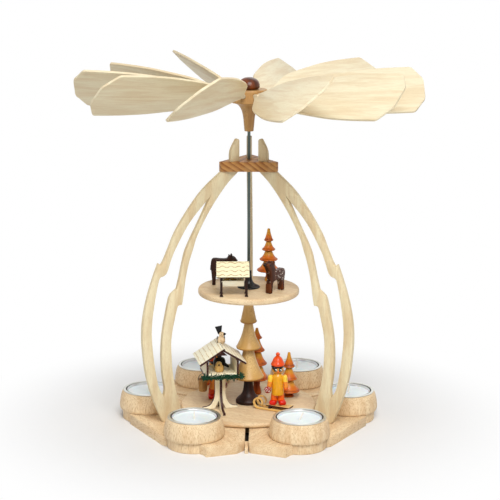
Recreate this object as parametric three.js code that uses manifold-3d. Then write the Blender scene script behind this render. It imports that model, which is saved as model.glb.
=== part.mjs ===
// A candle carousel: tea lights warm the air under a ring of wooden blades, which turns a shaft that carries
// two discs of small turned and sawn figures. Millimetres, +Z up, origin on the table at the axis.

import * as THREE from 'three';
import { mergeVertices } from 'three/addons/utils/BufferGeometryUtils.js';
import Module from 'manifold-3d';

const wasm = await Module();
wasm.setup();

// Clearances
const seatGap = 0.3;            // glued or seated pieces
const runningGap = 0.6;         // turning disc over the boards
const boreGap = 0.35;           // shaft in a hole
const overrun = 2;              // how far a cutter runs past a face

// Candle ring
const cupCount = 6;
const cupRingRadius = 87.8;
const teaLightRadius = 19;
const teaLightHeight = 15;
const foilWall = 0.5;
const waxDrop = 2.6;
const wickRadius = 0.9;
const wickHeight = 5.5;
const linerBoreRadius = 20;
const linerWall = 0.6;
const linerFlangeRadius = 22.3;
const cupRimRadius = 23.3;
const cupBellyRadius = 25.4;
const cupFootRadius = 22.9;
const cupHeight = 25;
const cupBellyHeight = 4.4;     // of the widest band above the step
const cupRimRound = 1;

// Base
const boardCount = 3;
const boardThickness = 8.8;
const boardGap = 3.4;
const boardFlatRadius = 100;
const boardFlatHalfAngle = 17.5;
const hornInnerRadius = 106.4;
const hornInnerAngle = 40;
const hornRadius = 111;
const hornAngle = 43;
const boardCornerRadius = 94.8;
const boardChamfer = 6.4;
const boardRound = 4;
const boardHoleRadius = 10;
const basePlateRadius = 84;
const basePlateThickness = 5;
const baseSlotStart = 44;
const baseSlotMargin = 5;       // of the plate beyond a slot
const baseTongueReach = 12.4;   // of a tongue beyond the plate
const bearingRadius = 5;
const bearingHeight = 3.2;
const bearingDimpleRadius = 2.6;
const bearingDimpleDepth = 1.6;
const bearingRecessDepth = 2.4;

// Arches and their top plate
const archCount = 3;
const archThickness = 4.4;
const archReach = 102.8;
const archRise = 212.4;
const tenonLength = 14;
const tenonDepth = 3;
const tenonInset = 4;
const fingerInner = 10.2;
const fingerOuter = 18.7;
const fingerHeight = 18.8;      // above the top plate
const fingerRoot = 3;           // of the finger down into the arch
const topPlateThickness = 8;
const topPlateInradius = 15.5;
const topPlateFacet = 3.8;

// Shaft and rotor
const shaftRadius = 1.3;
const shaftTipLength = 3;
const hubHeight = 35.5;
const hubDrumRadius = 15.4;
const hubClearance = 24.6;      // of the hub's foot above the top plate
const hubPegHeight = 29.6;      // of the pegs above the hub's foot
const hubShaftDepth = 22;
const capRadius = 9.6;
const capHeight = 10.7;
const bladeCount = 10;
const bladePitchAngle = 38;
const bladeRiseAngle = 3.4;     // degrees that a blade climbs outward
const bladeSwingAngle = 6;      // degrees that a peg may lean sideways
const bladeTurnAngle = 0.7;     // degrees that the ring of blades stands turned
const bladeRootRadius = 19;
const bladeTipRadius = 147.8;
const bladeHalfWidth = 27.8;
const bladeThickness = 2;
const pegRadius = 1.8;
const pegInnerRadius = 9.2;
const pegOverlap = 6;           // of the peg along the blade

// Discs and the central tree
const discEdgeRound = 1.8;
const discCupClearance = 2.9;   // of the lower disc inside the ring of cups
const lowerDiscThickness = 4.2;
const upperDiscRadius = 43.8;
const upperDiscThickness = 5.6;
const upperDiscTop = 117.8;
const collarRadius = 9.8;
const collarHeight = 14.6;
const trunkRadius = 11.1;
const trunkHeight = 21.6;
const bottomTierRadius = 13.8;
const bottomTierHeight = 26.4;
const middleTierRadius = 11;
const middleTierHeight = 23.1;

// Figures on the upper disc
const deerThickness = 5.4;
const bigDeerLength = 25;
const bigDeerHeight = 27.5;
const smallDeerLength = 23.4;
const smallDeerHeight = 27;
const rackWidth = 23.4;
const rackDepth = 13;
const rackPost = 2.3;
const rackRoofWidth = 28;
const rackRoofRun = 11.6;
const rackRoofRise = 11.2;
const rackEaveHeight = 18.4;
const rackRoofThickness = 1.6;
const troughHeight = 5;
const upperTreeRadius = 10.3;
const upperTreeHeight = 46.6;

// Figures on the lower disc
const houseClearance = 16.9;    // of its middle from the tree's brim
const houseAngle = 217.5;
const houseTurn = 12;
const houseWidth = 29;
const houseDepth = 32;
const houseBack = 2.3;          // of its middle behind the stand's
const houseFloorHeight = 30.8;  // of its floor above the disc
const houseBoard = 2;
const housePost = 2.2;
const houseRim = 3.4;
const roofHalfSpan = 20.6;
const roofRise = 13;
const roofLength = 37;
const roofThickness = 1.8;
const houseEaveRise = 13.8;     // of the eaves above its floor
const standStem = 9.4;
const standBoard = 2.4;
const standFoot = 7.5;
const standSideReach = 15.4;
const standFrontReach = 21;
const garlandSection = 3.6;
const garlandReturn = 3.5;      // of the garland's ends along the side walls
const childHeight = 46.5;
const coatRadius = 5.3;
const coatHeight = 18.4;
const headRadius = 5.4;
const hatRadius = 6.2;
const armRadius = 2.2;
const armSpread = 7.9;
const bootWidth = 4.4;
const bootHeight = 8.8;
const bootLength = 9;
const sledClearance = 19.2;      // of its middle from the trunk's foot
const sledAngle = -44.6;
const sledTurn = 155;
const sledLength = 35;
const sledWidth = 9;
const sledHeight = 5;
const sledRunner = 1.8;
const sledCurl = 5.6;
const bucketRadius = 4.7;
const bucketHeight = 12;
const bigTreeRadius = 10.6;
const bigTreeHeight = 60.6;
const smallTreeRadius = 9.8;
const smallTreeHeight = 40.4;

// Heights and radii that follow from the sizes above
const boardTop = boardThickness;
const archBottom = boardTop + seatGap;
const topPlateBottom = archBottom + archRise + seatGap;
const topPlateTop = topPlateBottom + topPlateThickness;
const boreRadius = shaftRadius + boreGap;
const lowerDiscRadius = cupRingRadius - cupBellyRadius - discCupClearance;
const lowerDiscBottom = boardTop + runningGap;
const lowerDiscTop = lowerDiscBottom + lowerDiscThickness;
const upperDiscBottom = upperDiscTop - upperDiscThickness;
const trunkBottom = lowerDiscTop + seatGap;
const bottomTierBottom = trunkBottom + trunkHeight + seatGap;
const middleTierBottom = bottomTierBottom + bottomTierHeight + seatGap;
const topTierBottom = middleTierBottom + middleTierHeight + seatGap;
const topTierHeight = upperDiscBottom - seatGap - topTierBottom;
const baseSlotEnd = basePlateRadius - baseSlotMargin;
const baseTongueEnd = basePlateRadius + baseTongueReach;
const roofEaveHeight = houseFloorHeight + houseEaveRise;
const hubStemBottom = topPlateTop + hubClearance;
const bladeAxisHeight = hubStemBottom + hubPegHeight;
const hubTop = hubStemBottom + hubHeight;
const bearingBottom = basePlateThickness - bearingRecessDepth + seatGap;
const shaftBottom = bearingBottom + bearingHeight - bearingDimpleDepth + seatGap;
const cupStep = boardTop + seatGap;
const cupBoreRadius = linerBoreRadius + linerWall + seatGap;
const linerTop = cupHeight + seatGap + linerWall;
const teaLightBottom = linerTop - teaLightHeight - seatGap;
const linerFloor = teaLightBottom - seatGap - linerWall;
const cupFloor = linerFloor - seatGap;

const deg = Math.PI / 180;
const turn = 360;

// Outlines, in shares of the sizes that they follow

// An arch seen from the side: [along archReach, up archRise], from the top plate down to the foot.
const archOuterShares = [
  [0.268, 1], [0.436, 0.935], [0.573, 0.858], [0.692, 0.774], [0.753, 0.712], [0.802, 0.663],
  [0.826, 0.649], [0.846, 0.657], [0.887, 0.608], [0.938, 0.539], [0.972, 0.478], [0.994, 0.417],
  [1, 0.354], [0.994, 0.305], [0.971, 0.212], [0.933, 0.14], [0.886, 0.073], [0.82, 0],
];
const archInnerShares = [
  [0.625, 0], [0.66, 0.055], [0.703, 0.135], [0.729, 0.208], [0.739, 0.292], [0.739, 0.33], [0.727, 0.376],
  [0.704, 0.424], [0.683, 0.464], [0.672, 0.475], [0.637, 0.477], [0.622, 0.518], [0.602, 0.583],
  [0.568, 0.651], [0.532, 0.7], [0.496, 0.749], [0.377, 0.849], [0.22, 0.947], [0.099, 1],
];
const archSlitShares = [
  [0.368, 0.907], [0.558, 0.811], [0.694, 0.707], [0.738, 0.66], [0.77, 0.618], [0.795, 0.605],
  [0.83, 0.6], [0.844, 0.59], [0.868, 0.544], [0.896, 0.472], [0.911, 0.42], [0.916, 0.364],
  [0.905, 0.289], [0.881, 0.204], [0.85, 0.14], [0.81, 0.107], [0.802, 0.14], [0.82, 0.201],
  [0.827, 0.285], [0.814, 0.368], [0.79, 0.429], [0.756, 0.502], [0.738, 0.523], [0.717, 0.532],
  [0.68, 0.545], [0.659, 0.583], [0.626, 0.649], [0.592, 0.703], [0.477, 0.807],
];
// The finger's rounded top: [from fingerInner to fingerOuter, up fingerHeight].
const fingerTopShares = [
  [0, 0.92], [0.06, 0.97], [0.18, 1], [0.3, 0.99], [0.42, 0.92], [0.76, 0.66], [0.93, 0.48], [1, 0.3],
];
// Half of a blade: [from root to tip, across bladeHalfWidth].
const bladeShares = [
  [0, 0.1], [0.05, 0.18], [0.124, 0.37], [0.19, 0.55], [0.256, 0.67], [0.33, 0.75], [0.4, 0.81],
  [0.55, 0.93], [0.69, 0.985], [0.8, 1], [0.915, 1], [0.932, 0.96], [0.98, 0.58], [0.995, 0.48], [1, 0.34],
];
// Each blade's peg as it stands in the hub, in shares of bladePitchAngle, bladeRiseAngle and bladeSwingAngle.
const bladePitchShares = [0.93, 1.1, 1.08, 1.08, 1.06, 1, 1.04, 1.01, 0.96, 0.94];
const bladeRiseShares = [0.8, 0.54, 0, 1.1, 0.38, 0.8, 1.18, 1.6, 1.68, 1.15];
const bladeSwingShares = [-0.27, 0, -0.23, 0.66, -0.13, -0.05, -0.22, 0, 0.25, 0.06];
// Turned pieces: [share of the radius, share of the height], from the bottom up.
const hubShares = [
  [0.25, 0], [0.29, 0.17], [0.32, 0.32], [0.4, 0.48], [0.55, 0.6], [0.8, 0.675], [1, 0.69], [1, 0.98],
  [0.97, 1],
];
const capShares = [
  [0.86, 0], [0.97, 0.12], [1, 0.25], [0.97, 0.44], [0.86, 0.66], [0.66, 0.85], [0.36, 0.97], [0, 1],
];
const collarShares = [[1, 0], [0.97, 0.05], [0.58, 0.19], [0.37, 0.36], [0.28, 0.62], [0.25, 1]];
const trunkShares = [[1, 0], [1, 0.1], [0.9, 0.17], [0.6, 0.32], [0.44, 0.5], [0.37, 0.75], [0.35, 1]];
const tierShares = [
  [0.8, 0], [0.96, 0.04], [1, 0.09], [0.96, 0.14], [0.74, 0.32], [0.54, 0.54], [0.42, 0.78], [0.38, 1],
];
const upperTreeShares = [
  [0.45, 0], [0.48, 0.05], [0.3, 0.1], [0.34, 0.16], [1, 0.19], [0.98, 0.22], [0.5, 0.35], [0.42, 0.39],
  [0.78, 0.4], [0.76, 0.42], [0.36, 0.55], [0.32, 0.58], [0.57, 0.59], [0.54, 0.61], [0.24, 0.74],
  [0.22, 0.76], [0.4, 0.77], [0.37, 0.8], [0.1, 0.95], [0, 1],
];
const bigTreeShares = [
  [0.5, 0], [0.52, 0.05], [0.3, 0.12], [0.34, 0.2], [1, 0.228], [0.98, 0.26], [0.5, 0.424], [0.44, 0.444],
  [0.86, 0.454], [0.84, 0.485], [0.38, 0.63], [0.36, 0.645], [0.68, 0.655], [0.64, 0.68], [0.26, 0.825],
  [0.24, 0.835], [0.44, 0.845], [0.4, 0.87], [0.1, 0.97], [0, 1],
];
const smallTreeShares = [
  [0.47, 0], [0.47, 0.08], [1, 0.115], [1, 0.15], [0.56, 0.33], [0.46, 0.38], [0.75, 0.4], [0.73, 0.44],
  [0.4, 0.62], [0.33, 0.66], [0.53, 0.68], [0.51, 0.71], [0.13, 0.95], [0, 1],
];
const coatShares = [[1, 0], [1, 0.06], [0.95, 0.3], [0.92, 0.7], [0.9, 0.86], [0.64, 1]];
const headShares = [[0.62, 0], [0.9, 0.14], [1, 0.36], [1, 0.62], [0.96, 0.74]];
const hatShares = [
  [1, 0], [1, 0.2], [0.86, 0.24], [0.74, 0.42], [0.5, 0.62], [0.22, 0.72], [0.3, 0.78], [0.34, 0.87],
  [0.24, 0.96], [0, 1],
];
const bucketShares = [[0.78, 0], [0.84, 0.06], [1, 0.94], [1, 1], [0.84, 1], [0.8, 0.75]];
// Sawn deer seen from the side: [share of the length, share of the height], nose to the left.
const bigDeerShares = [
  [-0.08, 0.93], [0, 0.84], [0.1, 0.7], [0.15, 0.52], [0.13, 0.3], [0.11, 0], [0.22, 0], [0.26, 0.3],
  [0.34, 0.36], [0.66, 0.36], [0.76, 0.27], [0.79, 0], [0.9, 0], [0.92, 0.3], [0.97, 0.5], [0.95, 0.64],
  [0.86, 0.7], [0.52, 0.69], [0.4, 0.76], [0.35, 0.88], [0.36, 0.99], [0.28, 0.95], [0.2, 1],
  [0.12, 0.96], [-0.02, 0.98],
];
const smallDeerShares = [
  [0.02, 0.8], [0.13, 0.72], [0.24, 0.72], [0.2, 0.45], [0.16, 0], [0.28, 0], [0.31, 0.4], [0.42, 0.5],
  [0.68, 0.5], [0.78, 0.36], [0.83, 0], [0.94, 0], [0.97, 0.35], [1, 0.6], [0.98, 0.8], [0.9, 0.87],
  [0.6, 0.86], [0.42, 0.87], [0.36, 0.93], [0.34, 1], [0.29, 0.95], [0.24, 1], [0.2, 0.94], [0.1, 0.9],
];
// One arm of the feeder's stand: [share of the reach, share of the stand's height].
const standArmShares = [
  [1, 0], [1, 0.065], [0.74, 0.085], [0.56, 0.13], [0.44, 0.21], [0.4, 0.3], [0.28, 0.42],
];

// Builders

// A closed geometry with shared corners, as a manifold.
function solid(geometry) {
  const bare = geometry.clone();
  bare.deleteAttribute('uv');
  bare.deleteAttribute('normal');
  const merged = mergeVertices(bare);
  const index = merged.index.array;
  const tris = [];
  for (let i = 0; i < index.length; i += 3) {
    const [a, b, c] = [index[i], index[i + 1], index[i + 2]];
    if (a !== b && b !== c && c !== a) tris.push(a, b, c);
  }
  return new wasm.Manifold(new wasm.Mesh({
    numProp: 3,
    vertProperties: new Float32Array(merged.attributes.position.array),
    triVerts: new Uint32Array(tris),
  }));
}

function geometryOf(manifold) {
  const mesh = manifold.getMesh();
  const geometry = new THREE.BufferGeometry();
  geometry.setAttribute('position', new THREE.BufferAttribute(new Float32Array(mesh.vertProperties), 3));
  geometry.setIndex(new THREE.BufferAttribute(new Uint32Array(mesh.triVerts), 1));
  geometry.computeVertexNormals();
  return geometry;
}

function move(geometry, x = 0, y = 0, z = 0) {
  return geometry.translate(x, y, z);
}

// A turned solid about +Z from a profile of [radius, height] points that runs from the bottom up.
function lathe(profile, sides, bore = 0) {
  const points = profile.map(([r, z]) => new THREE.Vector2(r, z));
  const low = profile[0][1];
  const high = profile[profile.length - 1][1];
  points.unshift(new THREE.Vector2(bore, low));
  if (bore > 0 || points[points.length - 1].x > 0) points.push(new THREE.Vector2(bore, high));
  if (bore > 0) points.push(new THREE.Vector2(bore, low));
  return new THREE.LatheGeometry(points, sides).rotateX(90 * deg);
}

function turned(radius, height, shares, sides, bore = 0) {
  return lathe(shares.map(([r, z]) => [r * radius, z * height]), sides, bore);
}

// A disc with a rounded rim.
function disc(radius, thickness, round, sides, bore = 0) {
  const roundShares = [[1, 0], [0.3, 0.3], [0, 1]];
  const profile = [
    ...roundShares.map(([r, z]) => [radius - r * round, z * round]),
    ...roundShares.map(([r, z]) => [radius - r * round, thickness - z * round]).reverse(),
  ];
  return lathe(profile, sides, bore);
}

function rod(radius, length, sides) {
  return new THREE.CylinderGeometry(radius, radius, length, sides).rotateX(90 * deg);
}

function box(x, y, z) {
  return new THREE.BoxGeometry(x, y, z);
}

// A sawn board: the outline lies in X and Y, and the thickness runs up from z = 0.
function sawn(points, thickness) {
  const shape = new THREE.Shape(points.map(([x, y]) => new THREE.Vector2(x, y)));
  return new THREE.ExtrudeGeometry(shape, { depth: thickness, bevelEnabled: false });
}

// The same board stood on edge: its outline in X and Z, its thickness centred on Y.
function upright(points, thickness) {
  return sawn(points, thickness).rotateX(90 * deg).translate(0, thickness / 2, 0);
}

function polar(radius, degrees) {
  return [radius * Math.cos(degrees * deg), radius * Math.sin(degrees * deg)];
}

function scaled(shares, x, y) {
  return shares.map(([u, v]) => [u * x, v * y]);
}

function sum(...geometries) {
  return geometries.map(solid).reduce((a, b) => a.add(b));
}

function finish(color, roughness, metalness = 0) {
  return new THREE.MeshStandardMaterial({ color, roughness, metalness });
}

const beech = finish(0xdcbb8c, 0.6);
const paleWood = finish(0xe6d8ac, 0.6);
const plywood = finish(0xdfd3a6, 0.6);
const grainWood = finish(0xc8894a, 0.55);
const brownWood = finish(0x6b2f12, 0.3);
const orangeWood = finish(0xcf7a2a, 0.4);
const darkWood = finish(0x3a1a12, 0.45);
const creamWood = finish(0xf0e4c0, 0.6);
const steel = finish(0x55605c, 0.3, 0.9);
const zinc = finish(0xc9cec2, 0.35, 0.8);
const wax = finish(0xeef2f0, 0.4);
const glass = finish(0xe8f0f0, 0.1);
const blackPaint = finish(0x14121a, 0.4);
const greenPaint = finish(0x1f4a34, 0.8);
const yellowPaint = finish(0xe0a020, 0.4);
const redPaint = finish(0xc8261a, 0.4);

const carousel = new THREE.Group();
const stand = new THREE.Group();
const rotor = new THREE.Group();
carousel.add(stand, rotor);

function place(group, name, shape, material) {
  const manifold = shape instanceof wasm.Manifold ? shape : solid(shape);
  const mesh = new THREE.Mesh(geometryOf(manifold), material);
  mesh.name = name;
  group.add(mesh);
  return mesh;
}

// A group turned about the axis by an angle in degrees.
function turnedGroup(parent, degrees) {
  const group = new THREE.Group();
  group.rotation.z = degrees * deg;
  parent.add(group);
  return group;
}

// A group at a place beside the axis, turned about its own vertical.
function placedGroup(parent, x, y, z, degrees) {
  const group = turnedGroup(parent, degrees);
  group.position.set(x, y, z);
  return group;
}

// Base plate: a disc under the boards, with a tongue and a slot in each gap between them
{
  const tall = 2 * (basePlateThickness + overrun);
  let plate = solid(lathe([[basePlateRadius, 0], [basePlateRadius, basePlateThickness]], 48));
  for (let k = 0; k < boardCount; k++) {
    const angle = (30 + (k * turn) / boardCount) * deg;
    const tongueLength = baseTongueEnd - baseSlotEnd;
    const tongue = move(
      box(tongueLength, boardGap - 2 * seatGap, basePlateThickness),
      baseSlotEnd + tongueLength / 2, 0, basePlateThickness / 2,
    ).rotateZ(angle);
    plate = plate.add(solid(tongue));
  }
  for (let k = 0; k < boardCount; k++) {
    const angle = (30 + (k * turn) / boardCount) * deg;
    const slotLength = baseSlotEnd - baseSlotStart;
    plate = plate.subtract(solid(move(
      box(slotLength, boardGap, tall), baseSlotStart + slotLength / 2,
    ).rotateZ(angle)));
  }
  for (let k = 0; k < cupCount; k++) {
    const [x, y] = polar(cupRingRadius, (k * turn) / cupCount);
    plate = plate.subtract(solid(move(rod(cupFootRadius + seatGap, tall, 24), x, y)));
  }
  const recess = rod(bearingRadius + seatGap, 2 * bearingRecessDepth, 24);
  plate = plate.subtract(solid(move(recess, 0, 0, basePlateThickness)));
  place(stand, 'base_plate', plate, beech);
}

// Bearing: a small glass cup that the shaft's point stands in
{
  const rim = bearingRadius - bearingDimpleRadius;
  const profile = [
    [bearingRadius, 0], [bearingRadius, bearingHeight], [bearingRadius - rim, bearingHeight],
    [0, bearingHeight - bearingDimpleDepth],
  ];
  place(stand, 'glass_bearing', move(lathe(profile, 24), 0, 0, bearingBottom), glass);
}

// Base boards: one under each arch, each with two notches that hold a cup's foot
const boardNames = ['back', 'left', 'right'];
function boardOutline() {
  const halfSector = turn / boardCount / 2;
  const [ux, uy] = [Math.cos(halfSector * deg), Math.sin(halfSector * deg)];
  const edge = (r) => [r * ux + (boardGap / 2) * uy, r * uy - (boardGap / 2) * ux];
  const along = (from, to, distance) => {
    const d = Math.hypot(to[0] - from[0], to[1] - from[1]);
    return [from[0] + ((to[0] - from[0]) * distance) / d, from[1] + ((to[1] - from[1]) * distance) / d];
  };
  const flatEnd = [boardFlatRadius, boardFlatRadius * Math.tan(boardFlatHalfAngle * deg)];
  const hornInner = polar(hornInnerRadius, hornInnerAngle);
  const horn = polar(hornRadius, hornAngle);
  const corner = edge(boardCornerRadius);
  const inner = edge(boardHoleRadius * 2);
  const innerEnd = polar(boardHoleRadius, 0);
  const mirror = ([x, y]) => [x, -y];
  const roundShares = [[1, 0], [0.35, 0.12], [0.12, 0.35], [0, 1]];
  const rounded = roundShares.map(([a, b]) => {
    const [p, q] = [along(corner, inner, a * boardRound), along(corner, horn, b * boardRound)];
    return mirror([p[0] + q[0] - corner[0], p[1] + q[1] - corner[1]]);
  });
  return [
    innerEnd, mirror(inner), ...rounded, mirror(horn), mirror(hornInner), mirror(flatEnd), flatEnd,
    hornInner, horn,
    along(corner, horn, boardChamfer), along(corner, inner, boardChamfer), inner,
  ];
}
for (let k = 0; k < boardCount; k++) {
  const group = turnedGroup(stand, 90 + (k * turn) / boardCount);
  let board = solid(sawn(boardOutline(), boardThickness));
  const recess = rod(basePlateRadius + seatGap, 2 * (basePlateThickness + seatGap), 48);
  board = board.subtract(solid(recess));
  const tall = 2 * (boardThickness + overrun);
  for (const side of [-1, 1]) {
    const [x, y] = polar(cupRingRadius, (side * turn) / cupCount / 2);
    board = board.subtract(solid(move(rod(cupFootRadius + seatGap, tall, 24), x, y)));
  }
  board = board.subtract(solid(rod(boardHoleRadius, tall, 24)));
  const footMiddle = (archInnerShares[0][0] + archOuterShares[archOuterShares.length - 1][0]) / 2 * archReach;
  const mortise = box(tenonLength + 2 * seatGap, archThickness + 2 * seatGap, 2 * (tenonDepth + seatGap));
  board = board.subtract(solid(move(mortise, footMiddle, 0, boardTop)));
  place(group, `base_board_${boardNames[k]}`, board, beech);
}

// Arches: a double strand with a finger above the top plate and a tenon in the board
for (let k = 0; k < archCount; k++) {
  const group = turnedGroup(stand, 90 + (k * turn) / archCount);
  const outer = scaled(archOuterShares, archReach, archRise);
  const inner = scaled(archInnerShares, archReach, archRise);
  const footMiddle = (inner[0][0] + outer[outer.length - 1][0]) / 2;
  const tenon = move(box(tenonLength, archThickness, 2 * tenonDepth), footMiddle);
  const fingerTop = fingerTopShares.map(([u, v]) => [
    fingerInner + u * (fingerOuter - fingerInner), archRise + topPlateThickness + seatGap + v * fingerHeight,
  ]);
  const finger = upright([
    [fingerInner, archRise], ...fingerTop, [fingerOuter, archRise - fingerRoot],
  ], archThickness);
  const slit = upright(scaled(archSlitShares, archReach, archRise), 2 * archThickness);
  const strands = solid(upright([...outer, ...inner], archThickness)).subtract(solid(slit));
  const arch = strands.add(sum(tenon, finger));
  place(group, `arch_${boardNames[k]}`, arch.translate([0, 0, archBottom]), plywood);
}

// Top plate: a triangle with blunt corners, a slot for each finger and a hole for the shaft
{
  const vertex = 2 * topPlateInradius;
  const half = topPlateFacet / 2;
  const corner = vertex - half / Math.tan(30 * deg);
  const points = [];
  for (let k = 0; k < archCount; k++) {
    const angle = 90 + (k * turn) / archCount;
    for (const side of [-half, half]) {
      points.push(polar(Math.hypot(corner, side), angle + Math.atan2(side, corner) / deg));
    }
  }
  let plate = solid(sawn(points, topPlateThickness));
  const tall = 2 * (topPlateThickness + overrun);
  for (let k = 0; k < archCount; k++) {
    const angle = (90 + (k * turn) / archCount) * deg;
    const length = fingerOuter - fingerInner + 2 * seatGap;
    const slot = box(length, archThickness + 2 * seatGap, tall);
    plate = plate.subtract(solid(move(slot, (fingerInner + fingerOuter) / 2).rotateZ(angle)));
  }
  plate = plate.subtract(solid(rod(boreRadius, tall, 16)));
  place(stand, 'top_plate', plate.translate([0, 0, topPlateBottom]), grainWood);
}

// Candle cups, their metal liners and the tea lights
for (let k = 0; k < cupCount; k++) {
  const [x, y] = polar(cupRingRadius, (k * turn) / cupCount);
  const cup = lathe([
    [cupFootRadius, 0], [cupFootRadius, cupStep], [cupBellyRadius, cupStep],
    [cupBellyRadius, cupStep + cupBellyHeight], [cupRimRadius, cupHeight - cupRimRound],
    [cupRimRadius - cupRimRound, cupHeight], [cupBoreRadius, cupHeight], [cupBoreRadius, cupFloor],
    [0, cupFloor],
  ], 24);
  place(stand, `candle_cup_${k + 1}`, move(cup, x, y), beech);
  const liner = lathe([
    [linerBoreRadius + linerWall, linerFloor], [linerBoreRadius + linerWall, linerTop - linerWall],
    [linerFlangeRadius, linerTop - linerWall], [linerFlangeRadius, linerTop], [linerBoreRadius, linerTop],
    [linerBoreRadius, linerFloor + linerWall], [0, linerFloor + linerWall],
  ], 20);
  place(stand, `cup_liner_${k + 1}`, move(liner, x, y), zinc);
  const inside = teaLightRadius - foilWall;
  const waxTop = teaLightHeight - waxDrop;
  const light = lathe([
    [teaLightRadius, 0], [teaLightRadius, teaLightHeight], [inside, teaLightHeight], [inside, waxTop],
    [wickRadius, waxTop], [wickRadius / 2, waxTop + wickHeight], [0, waxTop + wickHeight],
  ], 20);
  place(stand, `tea_light_${k + 1}`, move(light, x, y, teaLightBottom), wax);
}

// How blade k stands: turned about the axis, climbing outward and pitched about its peg
function bladeStance(k) {
  const shareOf = (shares) => shares[k % shares.length];
  return {
    azimuth: bladeTurnAngle + (k * turn) / bladeCount + bladeSwingAngle * shareOf(bladeSwingShares),
    rise: bladeRiseAngle * shareOf(bladeRiseShares),
    pitch: bladePitchAngle * shareOf(bladePitchShares),
  };
}

// Shaft, hub and cap
{
  const shaftTop = hubStemBottom + hubShaftDepth;
  const profile = [[0, shaftBottom], [shaftRadius, shaftBottom + shaftTipLength], [shaftRadius, shaftTop]];
  place(rotor, 'shaft', lathe(profile, 12), steel);

  let hub = solid(move(turned(hubDrumRadius, hubHeight, hubShares, 24), 0, 0, hubStemBottom));
  const bore = rod(boreRadius, 2 * (hubShaftDepth + seatGap), 12);
  hub = hub.subtract(solid(move(bore, 0, 0, hubStemBottom)));
  const pegBore = hubDrumRadius - pegInnerRadius + seatGap + overrun;
  for (let k = 0; k < bladeCount; k++) {
    const hole = new THREE.CylinderGeometry(pegRadius + seatGap, pegRadius + seatGap, pegBore, 8);
    hole.rotateZ(90 * deg).translate(pegInnerRadius - seatGap + pegBore / 2, 0, 0);
    const { azimuth, rise } = bladeStance(k);
    hole.rotateY(-rise * deg).rotateZ(azimuth * deg).translate(0, 0, bladeAxisHeight);
    hub = hub.subtract(solid(hole));
  }
  place(rotor, 'hub', hub, beech);
  const cap = turned(capRadius, capHeight, capShares, 20);
  place(rotor, 'cap_ball', move(cap, 0, 0, hubTop + seatGap), brownWood);
}

// Blades: each on a peg that turns in the hub, climbing outward and pitched
for (let k = 0; k < bladeCount; k++) {
  const { azimuth, rise, pitch } = bladeStance(k);
  const group = turnedGroup(rotor, azimuth);
  group.position.z = bladeAxisHeight;
  const length = bladeTipRadius - bladeRootRadius;
  const upper = bladeShares.map(([u, v]) => [bladeRootRadius + u * length, v * bladeHalfWidth]);
  const lower = upper.map(([x, y]) => [x, -y]).reverse();
  const leaf = move(sawn([...lower, ...upper], bladeThickness), 0, 0, -bladeThickness / 2);
  const pegLength = bladeRootRadius + pegOverlap - pegInnerRadius;
  const peg = new THREE.CylinderGeometry(pegRadius, pegRadius, pegLength, 8);
  peg.rotateZ(90 * deg).translate(pegInnerRadius + pegLength / 2, 0, 0);
  const blade = place(group, `blade_${k + 1}`, sum(leaf, peg), paleWood);
  blade.rotation.set(pitch * deg, -rise * deg, 0, 'YXZ');
}

// Discs and the turned tree between them
place(rotor, 'lower_disc', move(
  disc(lowerDiscRadius, lowerDiscThickness, discEdgeRound, 40, boreRadius), 0, 0, lowerDiscBottom,
), beech);
place(rotor, 'tree_trunk', move(
  turned(trunkRadius, trunkHeight, trunkShares, 16, boreRadius), 0, 0, trunkBottom,
), darkWood);
place(rotor, 'tree_tier_bottom', move(
  turned(bottomTierRadius, bottomTierHeight, tierShares, 18, boreRadius), 0, 0, bottomTierBottom,
), beech);
place(rotor, 'tree_tier_middle', move(
  turned(middleTierRadius, middleTierHeight, tierShares, 18, boreRadius), 0, 0, middleTierBottom,
), beech);
{
  // The top tier keeps the middle tier's neck, so its brim is measured from that.
  const neckShare = tierShares[tierShares.length - 1][0];
  const topTierRadius = (middleTierRadius * 2) / 3;
  const neck = (neckShare * middleTierRadius) / topTierRadius;
  const shares = tierShares.map(([r, z]) => [Math.max(r, neck * 0.72), z]);
  place(rotor, 'tree_tier_top', move(
    turned(topTierRadius, topTierHeight, shares, 16, boreRadius), 0, 0, topTierBottom,
  ), beech);
}
place(rotor, 'upper_disc', move(
  disc(upperDiscRadius, upperDiscThickness, discEdgeRound, 36, boreRadius), 0, 0, upperDiscBottom,
), beech);
place(rotor, 'shaft_collar', move(
  turned(collarRadius, collarHeight, collarShares, 16, boreRadius), 0, 0, upperDiscTop + seatGap,
), blackPaint);

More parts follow.
